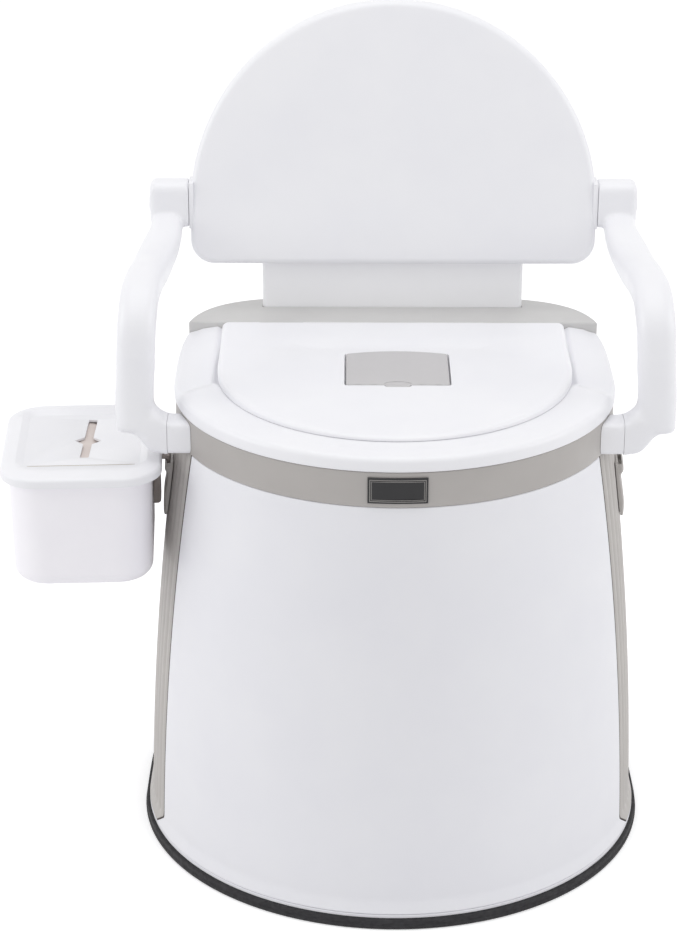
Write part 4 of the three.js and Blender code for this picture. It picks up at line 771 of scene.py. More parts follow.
def seat_ring():
    drop = SEAT_FRONT - SEAT_BOTTOM
    corners = [(0.5, drop), (0, drop - 1), (0, 1.5), (9, 0.7), (30, 0)]
    rim = [row for row in fillet(corners, [0.6, 0.5, 6.5, 14, 0], 7, closed=False) if row[0] < 15]
    rings = []
    for angle in turns(steps(384)):
        points = []
        for inset, below in rim:
            x, y, _ = plan_points(angle, SEAT_RADIUS - inset, 0)
            top = float(seat_top(x, y))
            points.append((x, y, top - below / drop * (top - SEAT_BOTTOM)))
        outer, inner = np.array(points[-1][:2]), np.array(hole_points(angle, -4))
        edge = [lid_crossing(outer, inner, grow) for grow in LID_STEPS]
        before = [edge[0] * k / 4 for k in (1, 2, 3)]
        after = [edge[-1] + (1 - edge[-1]) * k / 7 for k in range(1, 8)]
        for share in before + edge + after:
            x, y = outer + (inner - outer) * share
            sunk = max(0.0, share - edge[-1]) / max(1 - edge[-1], 0.05)
            points.append((x, y, float(seat_top(x, y)) - 2.2 * sunk ** 2))
        lip_top = points[-1][2]
        for share in (0.3, 0.6, 0.85, 1.0):
            turn = share * HALF_PI
            x, y = hole_points(angle, -4 + 4 * math.sin(turn))
            points.append((x, y, lip_top - 4 * (1 - math.cos(turn))))
        for inset, z in ((0, SEAT_BOTTOM + 0.8), (-0.8, SEAT_BOTTOM)):
            x, y = hole_points(angle, inset)
            points.append((x, y, z))
        rings.append(points)
    seat = loft("seat_ring_fine", rings, True)
    under = []
    for angle in turns(steps(192)):
        a, b = plan_points(angle, SEAT_RADIUS - 6, 0)[:2], hole_points(angle, -6)
        under.append([(x, y, z) for (x, y), z in ((a, 395), (a, HOLLOW_TOP), (b, HOLLOW_TOP), (b, 395))])
    hollow = boolean(loft("hollow", under, True), [behind("rear", HOLLOW_REAR, 380, 430)])
    boolean(seat, [hollow, behind("deck_room", DECK_FRONT - 0.6, 390, 440),
                   behind("heel", HEEL_Y, 390, HEEL_TOP)])
    for (low, high), (first, last) in zip(both_sides(*SEAT_LUG), both_sides(*LUG_NOTCH)):
        eye = rod("eye", LUG, low, high, HINGE_Y, HINGE_Z)
        stem = box_mesh("stem", (low, HINGE_Y - LUG, STEM_FOOT), (high, HINGE_Y + LUG, HINGE_Z))
        boolean(seat, [eye, stem], "UNION")
        boolean(seat, [box_mesh("notch", (first, HINGE_Y - NOTCH_DEEP, 390), (last, FAR, HINGE_Z))])
    return boolean(seat, [rod("bore", 1.9, -140, 140, HINGE_Y, HINGE_Z, 24)])


stand_in(seat_ring(), "seat_ring")

# Lid and deodorant cover


def lid_plain(y):
    return LID_REAR_TOP + (y - HINGE_Y) * LID_SLOPE


def lid_top(x, y):
    """The lid's top: a thicker strip over the hinge, a soft step down, then a gently domed panel."""
    x, y = np.asarray(x, float), np.asarray(y, float)
    edge = np.clip(np.abs(x) / LID_HALF, 0, 1)
    hollow = np.exp(-((y - 31) / 13.0) ** 2) * (1.9 + 1.6 * edge ** 3)
    crown = 0.9 * (1 - edge ** 2) * smoothstep(-y, -20, 40) * smoothstep(y, -157, -110)
    return lid_plain(y) - hollow + crown


def lid_outline(inset):
    """The lid from above: half an ellipse in front, straight sides and rounded rear corners."""
    half, length, rear = LID_HALF - inset, LID_LENGTH - inset, LID_REAR - inset
    corner = max(9.0 - inset, 3.0)
    bend_x, bend_y = half - corner, rear - corner
    turn = np.linspace(math.pi, 2 * math.pi, steps(144) + 1)
    front = np.stack([half * np.cos(turn), LID_CENTRE + length * np.sin(turn)], axis=1)
    right = [(half, LID_CENTRE + (bend_y - LID_CENTRE) * t) for t in (0.25, 0.5, 0.75)]
    right += flat_arc(bend_x, bend_y, corner, 0, HALF_PI, 8)
    back = [(bend_x * t, rear) for t in (0.5, 0.0, -0.5)]
    return np.concatenate([front, right, back, [(-x, y) for x, y in reversed(right)]])


def tilt(obj):
    """Places a shape drawn on the lid's sloping top."""
    lifted = Matrix.Translation((0, 0, lid_plain(0) * MM))
    return move(obj, lifted @ Matrix.Rotation(math.atan(LID_SLOPE), 4, "X"))


def cover_outline(grow, corner):
    half, front, rear = COVER_HALF + grow, COVER_FRONT - grow, COVER_REAR + grow
    arch = [(half * (1 - 2 * t), rear + 4 * COVER_ARCH * t * (1 - t)) for t in np.arange(1, 24) / 24]
    points = [(-half, front), (half, front), (half, rear)] + arch + [(-half, rear)]
    rounded = fillet(points, [corner, corner, corner * 1.4] + [0] * len(arch) + [corner * 1.4], 6)
    return [(COVER_X + x, y) for x, y in rounded]


def tab_shape(name, grow, bottom, top):
    half, front, rear = 10.5 + grow, COVER_FRONT - 3.8 - grow, COVER_FRONT + 2.5
    corners = [(-half, rear), (-half, front), (half, front), (half, rear)]
    outline = fillet(corners, [0, 3.2, 3.2, 0], 6, closed=False)
    return prism(name, [(COVER_X + x, y) for x, y in outline], bottom, top)


PAD_X, PAD_Y = 70.0, -128


def lid_panel():
    rings = []
    wide, high = 5.5, 3.0
    for inset, rise in ((3.0, 0), (0.2, 0), (0, 0.15)):
        rings.append([(x, y, seat_plain(y) + GAP + rise) for x, y in lid_outline(inset)])
    for turn in np.linspace(0, HALF_PI, 9):
        outline = lid_outline(wide * (1 - math.cos(turn)))
        top = lid_top(outline[:, 0], outline[:, 1])
        drop = high * (1 - math.sin(turn))
        rings.append([(x, y, z - drop) for (x, y), z in zip(outline, top)])
    first = np.array(rings[-1])[:, :2]
    centre = np.array([0.0, -20.0])
    for share in np.linspace(0, 0.97, steps(64))[1:]:
        points = first + (centre - first) * share
        top = lid_top(points[:, 0], points[:, 1])
        rings.append([(x, y, z) for (x, y), z in zip(points, top)])
    lid = loft("lid_fine", rings)
    boolean(lid, [behind("heel", HINGE_Y, 400, 470)])
    boolean(lid, [bevel(rod("roll", 5.8, -150.2, 150.2, HINGE_Y, HINGE_Z, 96), 4.2, 7, 60)], "UNION")
    for side, (low, high) in zip((-1, 1), both_sides(*LUG_SPACE)):
        boolean(lid, [rod("room", LUG_ROOM, low, high, HINGE_Y, HINGE_Z),
                      box_mesh("stem_room", (low, HINGE_Y - LUG_ROOM, 400), (high, FAR, HINGE_Z)),
                      box_mesh("rear_room", (low, HINGE_Y, 415), (high, FAR, 432))])
        boolean(lid, [upright("pad_room", 6.3, side * PAD_X, PAD_Y, 400, seat_plain(PAD_Y) + GAP + 2.9, 32)])
    recess = COVER_PROUD - COVER_THICK - 0.6 - 1.4
    boolean(lid, [tilt(prism("recess", cover_outline(1.3, 3.0), recess, 12)),
                  tilt(tab_shape("tab_room", 0.9, -3.2, 12)),
                  tilt(box_mesh("tray_room", (COVER_X - 34.3, -46.8, -60), (COVER_X + 34.3, 1.8, 0)))])
    return bevel(lid, 0.5, 2, 55)


stand_in(lid_panel(), "lid", angle=32)


def cover():
    """The flap: an arched slab with a rolled front edge, shallow scallops along it, and its finger tab."""
    bottom = COVER_PROUD - COVER_THICK
    slab = prism("deodorant_cover_fine", cover_outline(0, 2.5), bottom, COVER_PROUD)
    scallops = []
    for k in range(6):
        x = COVER_X + (k - 2.5) * 13.5
        if abs(x - COVER_X) > 10:
            scallops.append(upright("scallop", 9.0, x, COVER_FRONT - 8.1, 9, -9, 64))
    boolean(slab, scallops)
    bevel(slab, 1.5, 5, 30)
    arc = []
    for wide, deep, start in ((11.5, 4.6, 0), (10.6, 3.7, math.pi)):
        arc += [(COVER_X + wide * math.cos(a), COVER_FRONT + 1.5 + deep * math.sin(a))
                for a in np.linspace(start, math.pi - start, 25)]
    boolean(slab, [prism("arc", arc, COVER_PROUD - 0.8, 9)])
    tab = bevel(tab_shape("tab", 0, -2.4, 0.7), 0.9, 4, 30)
    boolean(slab, [tab], "UNION")
    return tilt(slab)


stand_in(cover(), "deodorant_cover", look="flap_grey", angle=32)


TRAY_Y, TRAY_DEEP = (COVER_FRONT + COVER_REAR) / 2, 17
TRAY_BOTTOM = COVER_PROUD - COVER_THICK - 2.0 - TRAY_DEEP


def tray_box(name, half_x, half_y, bottom, top, x=COVER_X):
    return box_mesh(name, (x - half_x, TRAY_Y - half_y, bottom), (x + half_x, TRAY_Y + half_y, top))


def tray():
    top = COVER_PROUD - COVER_THICK - GAP
    outer = tray_box("deodorant_tray_fine", 34, 24, TRAY_BOTTOM, top)
    boolean(outer, [tray_box("flange", 38, 28, top - 1.4, top)], "UNION")
    boolean(outer, [tray_box("inner", 32.4, 22.4, TRAY_BOTTOM + 1.6, top + 3)])
    for i in range(4):
        x = COVER_X + (i - 1.5) * 16.2
        boolean(outer, [tray_box("slot", 1.5, 17, TRAY_BOTTOM - 3, TRAY_BOTTOM + 2, x)])
    return tilt(bevel(outer, 0.5, 2, 40))


stand_in(tray(), "deodorant_tray")


def wax_block():
    bottom = TRAY_BOTTOM + 1.9
    return tilt(bevel(tray_box("deodorant_block_fine", 29, 19, bottom, bottom + 9), 2.0, 4, 40))


stand_in(wax_block(), "deodorant_block")

# Backrest


def lean(obj):
    place = Matrix.Translation((0, REST_Y * MM, REST_BOTTOM * MM))
    return move(obj, place @ Matrix.Rotation(-REST_LEAN, 4, "X"))


def rest_loop(inset, depth):
    half, corner = REST_HALF - inset, max(REST_CORNER - inset, 4.0)
    outline = flat_arc(0, REST_STRAIGHT, half, 0, math.pi, steps(160))
    outline += flat_arc(corner - half, inset + corner, corner, math.pi, 1.5 * math.pi, 12)
    outline += flat_arc(half - corner, inset + corner, corner, -HALF_PI, 0, 12)
    return [(x, depth, z) for x, z in outline]


def edge_rings(radius, front, turn_out):
    """Rings round a rounded edge between a face and the side wall."""
    rings = []
    for turn in np.linspace(0, HALF_PI, 9):
        inset, depth = radius * (1 - math.sin(turn)), radius * (1 - math.cos(turn))
        rings.append(rest_loop(inset, front + depth if turn_out else front - depth))
    return rings


def shrunk(inset, depth, crown):
    """Rings from a crowned face's middle out to its edge."""
    middle = np.array([0.0, 0.0, REST_STRAIGHT + 40])
    outline = np.array(rest_loop(inset, 0.0))
    return [[(x, depth - crown * (1 - (1 - share) ** 2), z)
             for x, _, z in outline + (middle - outline) * share] for share in np.linspace(0.97, 0, 12)]


def backrest_front():
    rings = shrunk(6.0, 0.0, 1.4)[:-1] + edge_rings(6.0, 0.0, True)
    rings += [rest_loop(0, REST_SPLIT - 0.5), rest_loop(0.5, REST_SPLIT), rest_loop(3, REST_SPLIT)]
    rings += [rest_loop(4, 6), rest_loop(8, 3)]
    return lean(loft("backrest_front_fine", rings))


def backrest_rear():
    start = REST_SPLIT + GAP
    rings = [rest_loop(inset, depth) for inset, depth in (
        (8, REST_THICK - 3), (3, REST_THICK - 8), (3, start), (0.5, start), (0, start + 0.5))]
    rings += edge_rings(4.5, REST_THICK, False)[::-1]
    rings += shrunk(4.5, REST_THICK, 0.0)[:-1][::-1]
    shell = lean(loft("backrest_rear_fine", rings))
    for side, (low, high) in zip((-1, 1), both_sides(REST_HALF - 3, REST_HALF + 1.2)):
        ear = box_mesh("ear", (low, PIVOT_Y - EAR_HALF_Y, PIVOT_Z - BLOCK_HALF_Z),
                       (high, PIVOT_Y + EAR_HALF_Y, PIVOT_Z + BLOCK_HALF_Z))
        boss = rod("boss", 7.8, side * (REST_HALF - 31), side * (REST_HALF - 1), PIVOT_Y, PIVOT_Z, 32)
        boolean(shell, [bevel(ear, 0.5, 2), boss], "UNION")
    seats = [box_mesh("seat", (x - SCREW_PAD, POST_BACK - GAP, SCREW_Z - SCREW_PAD),
                      (x + SCREW_PAD, SCREW_FACE_Y, SCREW_Z + SCREW_PAD)) for x in SCREWS_X]
    boolean(shell, seats, "UNION")
    boolean(shell, [sleeve("post_room", GAP, 440, POST_TOP + GAP)])
    for x in SCREWS_X:
        boolean(shell, [tube_mesh("hole", 4.8, (x, SCREW_FACE_Y, SCREW_Z), (x, 185, SCREW_Z), 32),
                        tube_mesh("way", 2.1, (x, 141, SCREW_Z), (x, 156, SCREW_Z), 24)])
    return shell


stand_in(backrest_front(), "backrest_front", angle=32)
stand_in(backrest_rear(), "backrest_rear", angle=32)


def post():
    return bevel(sleeve("backrest_post_fine", 0, POST_BOTTOM, POST_TOP), 4.0, 6, 40)


# The post's brighter white is painted light against the backrest's shade.
stand_in(post(), "backrest_post", look="post_lit_white")

# Arms

ROUTE_SHARES = [
    (0.16, 0.05, 0.13), (0.17, 0.12, 0.155), (0.27, 0.21, 0.185), (0.45, 0.32, 0.22), (0.58, 0.49, 0.225),
    (0.68, 0.69, 0.2), (0.75, 0.875, 0.215), (0.81, 0.973, 0.33), (0.88, 1, 0.52),
]


def spline(points, count):
    """Even points along a centripetal Catmull-Rom curve."""
    p = np.array(points, float)
    p = np.concatenate([[2 * p[0] - p[1]], p, [2 * p[-1] - p[-2]]])
    out = []
    for i in range(1, len(p) - 2):
        four = p[i - 1:i + 3]
        knots = np.concatenate([[0], np.cumsum(np.linalg.norm(np.diff(four, axis=0), axis=1) ** 0.5)])
        for t in np.linspace(knots[1], knots[2], 24, endpoint=False):
            row = four
            for spans in (((0, 1), (1, 2), (2, 3)), ((0, 2), (1, 3)), ((1, 2),)):
                row = [((knots[high] - t) * a + (t - knots[low]) * b) / (knots[high] - knots[low])
                       for (low, high), a, b in zip(spans, row, row[1:])]
            out.append(row[0])
    out.append(p[-2])
    out = np.array(out)
    run = np.concatenate([[0], np.cumsum(np.linalg.norm(np.diff(out, axis=0), axis=1))])
    at = np.linspace(0, run[-1], count + 1)
    return np.stack([np.interp(at, run, out[:, k]) for k in range(3)], axis=1)


def round_section(centre, first, second, power):
    """A superellipse round the centre, its half axes given as vectors."""
    ring = []
    for angle in turns(72):
        c, s = math.cos(angle), math.sin(angle)
        ring.append(centre + first * math.copysign(abs(c) ** (2 / power), c)
                    + second * math.copysign(abs(s) ** (2 / power), s))
    return ring


ARM_STEPS, ARM_POWER, ARM_START_Y, ARM_GROWN = 84, 2.7, 12.6, 0.24
ELBOW_FILLET = 17.0
ELBOW_CORNER = np.array([201.6 - ELBOW_FILLET, ARM_TOP + ELBOW_FILLET])


def elbow_outer(angle):
    """Where a ray from the elbow's inner corner meets its outer outline, in X and Z."""
    curve = bezier([(198, ARM_BOTTOM), (212, ARM_BOTTOM), (211.5, ELBOW_BOTTOM), (224, ELBOW_BOTTOM)], 40)
    top = (ELBOW_OUTER - 0.4, 432)
    corner = fillet([(224, ELBOW_BOTTOM), (ELBOW_OUTER, ELBOW_BOTTOM), top], [0, 6, 0], 16, closed=False)
    start = np.array([ELBOW_OUTER, ELBOW_BOTTOM + 6])
    side = start + (top - start) * np.linspace(0.02, 1, 40)[:, None]
    outline = np.concatenate([[(178, ARM_BOTTOM)], curve, corner[1:-1], side])
    around = np.arctan2(outline[:, 1] - ELBOW_CORNER[1], outline[:, 0] - ELBOW_CORNER[0])
    order = np.argsort(around)
    reach = np.hypot(*(outline - ELBOW_CORNER).T)
    return float(np.interp(angle, around[order], reach[order]))


def arm_tube():
    """The whole arm as one skin: from the block along the tube, down the elbow and in to the socket."""
    start = np.array([(ARM_INNER + ARM_OUTER) / 2, PIVOT_Y, PIVOT_Z])
    end = np.array([ELBOW_OUTER - ARM_HALF_X, ARM_Y, ELBOW_BOTTOM])
    path = spline([start + (end - start) * np.array(s) for s in ROUTE_SHARES], ARM_STEPS)
    tangents = np.gradient(path, axis=0)
    narrow = (ARM_OUTER - ARM_INNER) / 2 - 2.6
    rings = []
    for i, centre in enumerate(path):
        t = tangents[i] / np.linalg.norm(tangents[i])
        side = np.array([1.0, 0, 0]) - t[0] * t
        side /= np.linalg.norm(side)
        grown = float(smoothstep(i / ARM_STEPS, 0, ARM_GROWN))
        wide = narrow + (ARM_HALF_X - narrow) * grown
        high = ARM_START_Y + (ARM_HALF_Y - ARM_START_Y) * grown
        rings.append(round_section(centre, side * wide, np.cross(t, side) * high, ARM_POWER))
    flat = np.array([0, -ARM_HALF_Y, 0.0])
    sections = [((232.0, 443), (199.7, 443)), ((232.6, 435), (200.5, 435)), ((233.1, 427), (201.1, 427)),
                ((ELBOW_OUTER - 0.4, 420), (201.4, 420))]
    for angle in np.linspace(0, -HALF_PI, 25):
        ray = np.array([math.cos(angle), math.sin(angle)])
        sections.append((ELBOW_CORNER + ray * elbow_outer(angle), ELBOW_CORNER + ray * ELBOW_FILLET))
    sections.append(((178.0, ARM_BOTTOM), (178.0, ARM_TOP)))
    for k, (outer, inner) in enumerate(sections):
        outer, inner = np.array(outer, float), np.array(inner, float)
        middle, half = (outer + inner) / 2, (outer - inner) / 2
        power = ARM_POWER + 2.3 * float(smoothstep(k / (len(sections) - 1), 0.25, 0.9))
        centre, across = np.array([middle[0], ARM_Y, middle[1]]), np.array([half[0], 0, half[1]])
        rings.append(round_section(centre, across, flat, power))
    return loft("tube", rings)


def arm_block():
    box = rectangle(0, 0, BLOCK_HALF_Y, BLOCK_HALF_Z)
    rings = []
    for x, inset in ((ARM_INNER, 0.6), (ARM_INNER + 0.6, 0), (BLOCK_OUTER - 5, 0), (BLOCK_OUTER - 3.2, 0.4),
                     (BLOCK_OUTER - 1.6, 1.4), (BLOCK_OUTER - 0.5, 3.1), (BLOCK_OUTER, 5.4)):
        outline = fillet([(a - math.copysign(inset, a), b - math.copysign(inset, b)) for a, b in box],
                         [BLOCK_CORNER - inset * 0.5] * 4, 8)
        rings.append([(x, PIVOT_Y + a, PIVOT_Z + b) for a, b in outline])
    return loft("block", rings)


def arm():
    body = arm_block()
    body.name = "arm_right_fine"
    boolean(body, [arm_tube()], "UNION")
    modified(body, "REMESH", mode="VOXEL", voxel_size=FINE * MM, use_smooth_shade=True)
    modified(body, "SMOOTH", factor=0.5, iterations=14 // FINE)
    inner = box_mesh("inner", (150, 100, 480), (ARM_INNER, 200, 570))
    end = box_mesh("end", (150, -100, 350), (ARM_END, 0, 420))
    return boolean(body, [inner, end, rod("cap_seat", 8.5, ARM_OUTER, ARM_OUTER + 9, PIVOT_Y, PIVOT_Z, 64)])


pair(arm(), "arm", angle=50)

cap = rod("arm_cap_right_fine", 8.0, ARM_OUTER + GAP, ARM_OUTER + 2.1, PIVOT_Y, PIVOT_Z, 64)
pair(bevel(cap, 0.9, 4, 40), "arm_cap")


def arm_socket():
    rings = []
    for x in [150.0] + list(np.linspace(ELBOW_CORNER[0] - 2, ARM_END - GAP, 9)):
        rise = ELBOW_FILLET - math.sqrt(ELBOW_FILLET ** 2 - max(0.0, x - ELBOW_CORNER[0]) ** 2)
        half = (ARM_TOP + rise - ARM_BOTTOM) / 2
        rings.append(round_section(np.array([x, ARM_Y, ARM_BOTTOM + half]), np.array([0, ARM_HALF_Y, 0]),
                                   np.array([0, 0, half]), 5.0))
    block = loft("arm_socket_right_fine", rings)
    return boolean(block, [plan_prism("collar_space", COLLAR_RADIUS + GAP, 360, 410)])


pair(arm_socket(), "arm_socket")

# Brackets


BRACKET_TIP, BRACKET_ROUND, SCREW_SEAT_Z = 11.0, 6.0, 304
FACE_STEPS = [(288.0, 0.9), (289.2, 1.8), (291.5, 2.6), (295, 3.1), (300, 3.7), (306, 4.2), (311, 4.3),
              (315, 4.1), (319, 3.8), (323, 3.6), (329, 3.6), (332, 3.9), (334, 5.4), (335.5, 6.2),
              (338, 6.5), (342, 6.6)]


def bracket():
    """A hanger: a thick block at the top, a waist below it and a rounded drop at the foot."""
    low, high = BRACKET_TOP - BRACKET_HEIGHT, BRACKET_TOP
    drop = bezier([(0, low), (BRACKET_TIP, low), (BRACKET_HALF, low + BRACKET_TIP),
                   (BRACKET_HALF, high - BRACKET_HEIGHT / 2)], 14)
    levels = np.concatenate([low + 10 * np.linspace(0.02, 1, 16) ** 1.6, np.linspace(low + 11, high - 7, 32),
                             high - BRACKET_ROUND * np.linspace(1, 0, 12) ** 1.6])
    rings = []
    for z in levels:
        half = max(float(np.interp(z, drop[:, 1], drop[:, 0])), 0.3)
        if z > high - BRACKET_ROUND:
            above = z - high + BRACKET_ROUND
            half = BRACKET_HALF - BRACKET_ROUND + math.sqrt(max(0.0, BRACKET_ROUND ** 2 - above ** 2))
        wall = radius_at(z) + GAP
        face = radius_at(z) + float(np.interp(z, *zip(*FACE_STEPS)))
        face -= 1.2 * (1 - math.sqrt(1 - max(0.0, (z - high + 1.2) / 1.2) ** 2)) if z > high - 1.2 else 0
        edge = min(2.2, half * 0.6, (face - wall) * 0.7)
        ring = [(math.sqrt(wall ** 2 - half ** 2), -half)]
        ring += flat_arc(face - edge, edge - half, edge, -HALF_PI, 0, 6)
        ring += [(face, (half - edge) * t) for t in (-0.6, -0.2, 0.2, 0.6)]
        ring += flat_arc(face - edge, half - edge, edge, 0, HALF_PI, 6)
        ring += [(math.sqrt(wall ** 2 - (half * t) ** 2), half * t) for t in (1, 0.6, 0.2, -0.2, -0.6)]
        rings.append([(x, y, z) for x, y in ring])
    body = loft("side_bracket_right_fine", rings)
    pocket = box_mesh("pocket", (POCKET_X - 1.6, -14.5, high - 6.3), (POCKET_X + 1.6, 11, high + 3))
    boolean(body, [pocket, rod("head", 3.9, BRACKET_FACE - 2.8, 240, 0, SCREW_SEAT_Z, 32)])
    return move(body, Matrix.Rotation(-BRACKET_TURN, 4, "Z"))


pair(bracket(), "side_bracket", angle=40)

# Paper box


def rounded_loop(x, half_x, half_y, corner, z):
    points = []
    for quarter, (sx, sy) in enumerate(((1, 1), (-1, 1), (-1, -1), (1, -1))):
        points += flat_arc(x + sx * (half_x - corner), BOX_Y + sy * (half_y - corner), corner,
                           HALF_PI * quarter, HALF_PI * (quarter + 1), 14)
    return [(x, y, z) for x, y in points]


def box_loop(inset, z):
    rise = (z - BOX_BOTTOM) / (BOX_TOP - BOX_BOTTOM)
    half = BOX_HALF_X - 1.0 * (1 - rise) - inset
    length = BOX_HALF_Y - 7.0 * (1 - rise) - inset
    return rounded_loop(BOX_X, half, length, max(30 - inset, 8), z)


def lid_loop(inset, z):
    return rounded_loop(LIDB_X, LIDB_HALF_X - inset, LIDB_HALF_Y - inset, max(34 - inset, 9), z)


def hang(obj):
    """Turns a piece of the paper box to the side that its bracket is on."""
    return move(obj, Matrix.Rotation(BRACKET_TURN, 4, "Z"))


def paper_box():
    rings = [box_loop(BOX_FOOT + 18, BOX_BOTTOM)]
    for turn in np.linspace(0, HALF_PI, 12):
        inset, rise = BOX_FOOT * (1 - math.sin(turn)), BOX_FOOT * (1 - math.cos(turn))
        rings.append(box_loop(inset, BOX_BOTTOM + rise))
    rings += [box_loop(0, z) for z in np.linspace(BOX_BOTTOM + 16, BOX_TOP - 4, 12)]
    shell = loft("paper_box_fine", rings + [box_loop(0, BOX_TOP)])
    rim = loft("rim", [lid_loop(3.3, BOX_TOP - 2), lid_loop(3.3, BOX_TOP)])
    boolean(shell, [bevel(rim, 0.6, 2, 60)], "UNION")
    inner = [box_loop(14.5, BOX_BOTTOM + 2.5), box_loop(7, BOX_BOTTOM + 5), box_loop(3.5, BOX_BOTTOM + 10),
             box_loop(2.5, BOX_BOTTOM + 15), box_loop(2.5, BOX_TOP + 3)]
    return hang(boolean(shell, [loft("inside", inner)]))


stand_in(paper_box(), "paper_box", look="body_white")


SLOT_LEAN = math.radians(3.2)


def dish_strip(name, half_x, half_y, corner, bottom, top):
    """A narrow strip with rounded ends, across the front of the box lid's dish."""
    return prism(name, fillet(rectangle(LIDB_X, GROOVE_Y, half_x, half_y), [corner] * 4, 5), bottom, top)


def paper_box_lid():
    """A capped lid with a wide band in front, a shallow dish behind it and the slot for the paper."""
    top, bottom, panel = LIDB_TOP, LIDB_BOTTOM, LIDB_TOP - 3.6
    profile = fillet([(3, BOX_TOP + GAP), (3, bottom), (0, bottom), (0, top), (12, top)],
                     [0.8, 0.6, 0.8, 2.8, 0], 7, closed=False)
    rows = [(30, BOX_TOP + GAP), *profile, (40, top)]
    lid = loft("paper_box_lid_fine", [lid_loop(inset, z) for inset, z in rows])
    far_side, back, front = 12.5, 11.0, 30.5
    middle, length = (front - back) / 2, LIDB_HALF_Y - (front + back) / 2
    dish = []
    for k in range(9):
        turn = math.pi * k / 8
        inset, z = 6.0 * (1 + math.cos(turn)) / 2, (panel + top) / 2 - (top - panel) / 2 * math.cos(turn)
        dish.append([(x, y + middle, z) for x, y, z in
                     rounded_loop(LIDB_X, LIDB_HALF_X - far_side - inset, length - inset, 15 - inset, z)])
    dish.append([(x, y, top + 3) for x, y, z in dish[-1]])
    slot_x, slot_y, cross_y = LIDB_X + 4.2, BOX_Y + 13.5, -5.1

    def slot_shape(name, points):
        c, s = math.cos(SLOT_LEAN), math.sin(SLOT_LEAN)
        turned = [(slot_x + x * c + y * s, slot_y - x * s + y * c) for x, y in points]
        return prism(name, turned, BOX_TOP - 3, top + 3)

    bar = slot_shape("bar", fillet(rectangle(0, 0, 3.8, 43.5), [1.6] * 4, 5))
    cross = slot_shape("cross", [(-11.5, cross_y), (0, cross_y - 12), (11.5, cross_y), (0, cross_y + 12)])
    groove = dish_strip("groove", 47, 2.1, 1.9, panel - 1.2, top)
    boolean(lid, [loft("dish", dish), bar, cross, groove])
    return hang(bevel(lid, 0.45, 2, 60))


stand_in(paper_box_lid(), "paper_box_lid", angle=40)


def lid_groove_shadow():
    """A narrow strip of painted shadow that lies in the groove at the front of the dish, standing in for the
    groove's shade.
    """
    z = LIDB_TOP - 3.4
    return hang(bevel(dish_strip("paper_box_lid_seam", 46, 1.7, 1.5, z - 1.25, z + 0.25), 0.3, 2, 50))


def paper_roll():
    """The roll that waits under the slot, with its core and softly rounded ends."""
    outer, core, half = 47.0, 20.0, 53.0
    profile = fillet([(core, -half), (outer, -half), (outer, half), (core, half)], [1, 2.5, 2.5, 1], 4)
    rings = [[(BOX_X + r * math.cos(a), BOX_Y + 9 + y, 260.6 + outer + r * math.sin(a)) for r, y in profile]
             for a in turns(96)]
    return hang(loft("paper_roll", rings, True))


# The strip in the lid's groove is painted shadow.
extra(lid_groove_shadow(), "groove_shadow_brown", "paper_box")
extra(paper_roll(), "paper", "paper_box")


def box_hook():
    """A plate on the box's wall, with a tongue that drops into the bracket's pocket."""
    wall = -(BOX_X + BOX_HALF_X)
    rest = BRACKET_TOP + GAP
    tip, top, outer, tongue = BRACKET_TOP - 5.7, rest + 3, wall + GAP - 6.5, POCKET_X + 1.3
    outline = [(wall + GAP, top - 44), (wall + GAP, top), (tongue - 2.6, top), (tongue - 2.6, tip),
               (tongue, tip), (tongue, rest), (outer, rest), (outer, top - 44)]
    outline = fillet(outline, [0, 1.2, 1.2, 0.8, 0.8, 0.6, 2.5, 4.5], 5)
    slab = loft("paper_box_hook_fine", [[(-x, y, z) for x, z in outline] for y in (-9, 9)])
    bevel(slab, 0.7, 3, 60)
    space = loft("wall_space", [box_loop(-GAP, BOX_BOTTOM + 12), box_loop(-GAP, BOX_TOP)])
    return hang(boolean(slab, [space]))


# The hook's darker grey holds painted shade from the box.
stand_in(box_hook(), "paper_box_hook", look="hook_shaded_grey")

# Small parts


SMALL_PARTS = ("post_screw", "bracket_screw", "seat_bumper", "lid_bumper", "hinge_pin", "arm_pivot_pin")


def fine_copy(node, width):
    """A copy of a small CAD solid with rounded edges."""
    made = bpy.data.objects.new(node + "_fine", frame["nodes"][node].data.copy())
    scene.collection.objects.link(made)
    weld(made, 0.01)
    bm = bmesh.new()
    bm.from_mesh(made.data)
    bmesh.ops.dissolve_limit(bm, angle_limit=math.radians(1), verts=bm.verts, edges=bm.edges)
    bm.to_mesh(made.data)
    bm.free()
    bevel(made, width, 3, 40)
    return stand_in(made, node)


for node in sorted(frame["nodes"]):
    if node.startswith(SMALL_PARTS):
        fine_copy(node, 0.4)

# Floor, world and lights


FLOOR_GLOW, FLOOR_SIZE, FLOOR_Z, WORLD_LIGHT = 0.42, 12000.0, -0.0002, 0.71


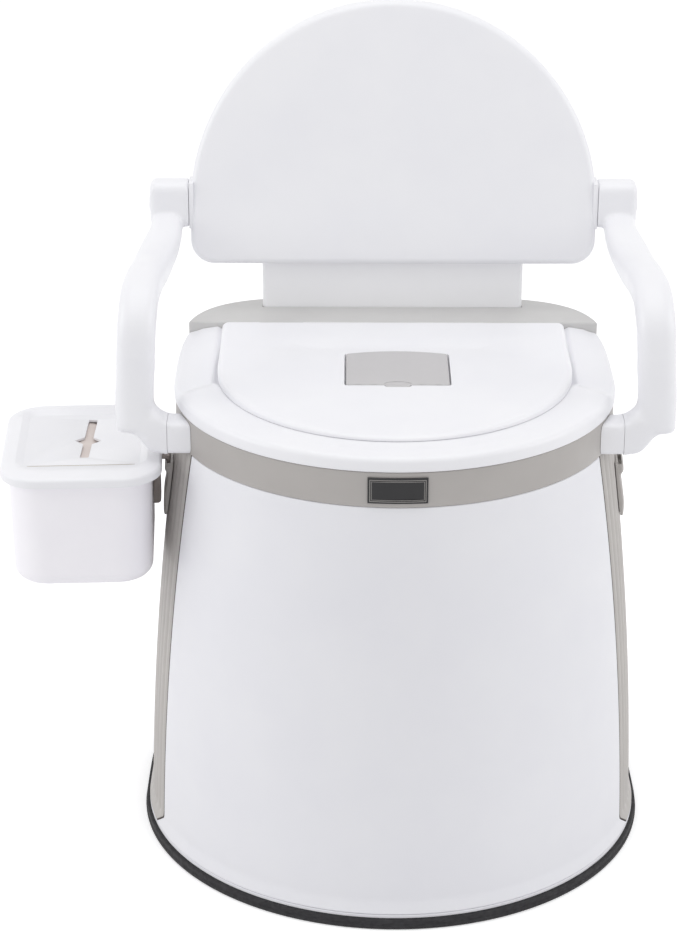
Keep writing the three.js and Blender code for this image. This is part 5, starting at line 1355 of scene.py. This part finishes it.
def seen_by(tree, *rays):
    """1 for rays of these kinds and 0 for all others."""
    path = wire(tree, "ShaderNodeLightPath")
    seen = path.outputs[rays[0]]
    for ray in rays[1:]:
        seen = wire(tree, "ShaderNodeMath", {0: seen, 1: path.outputs[ray]}, operation="MAXIMUM").outputs[0]
    return seen


def floor():
    n = Nodes("floor_white")
    n.link(n.mix(n.ramp(n.noise(3.0), 0.0, 1.0), (0.86, 0.86, 0.87, 1), (0.84, 0.84, 0.85, 1)), "Base Color")
    n.shader.inputs["Roughness"].default_value = 0.9
    n.shader.inputs["Specular IOR Level"].default_value = 0.1
    seen = seen_by(n.tree, "Is Camera Ray", "Is Glossy Ray")
    lit = wire(n.tree, "ShaderNodeMath", {0: seen, 1: FLOOR_GLOW}, operation="MULTIPLY")
    n.shader.inputs["Emission Color"].default_value = (1, 1, 1, 1)
    n.link(lit.outputs[0], "Emission Strength")
    corners = rectangle(0, 0, FLOOR_SIZE, FLOOR_SIZE)
    sheet = new_object("floor", [(x, y, 0) for x, y in corners], [(0, 1, 2, 3)])
    sheet.data.materials.append(n.material)
    sheet.location.z = FLOOR_Z


def world():
    made = bpy.data.worlds.new("studio")
    scene.world = made
    made.use_nodes = True
    tree = made.node_tree
    back = tree.nodes["Background"]
    back.inputs["Color"].default_value = (1, 1, 1, 1)
    seen = seen_by(tree, "Is Camera Ray", "Is Transmission Ray", "Is Glossy Ray")
    strength = wire(tree, "ShaderNodeMapRange", {"Value": seen, "To Min": WORLD_LIGHT, "To Max": 1.0})
    tree.links.new(strength.outputs["Result"], back.inputs["Strength"])


def area_light(name, place, target, size, power):
    data = bpy.data.lights.new(name, "AREA")
    data.shape, data.size, data.energy = "SQUARE", size, power
    light = bpy.data.objects.new(name, data)
    scene.collection.objects.link(light)
    light.location = place
    light.rotation_euler = (Vector(target) - Vector(place)).to_track_quat("-Z", "Y").to_euler()


floor()
world()
area_light("overhead", (0.0, -0.2, 2.6), (0, 0, 0.4), 2.2, 14.0)
area_light("left_box", (-2.4, -0.4, 1.15), (0, 0, 0.3), 1.5, 12.0)
area_light("right_box", (2.4, -0.4, 1.15), (0, 0, 0.3), 1.5, 10.5)
scene.view_settings.view_transform = "Standard"
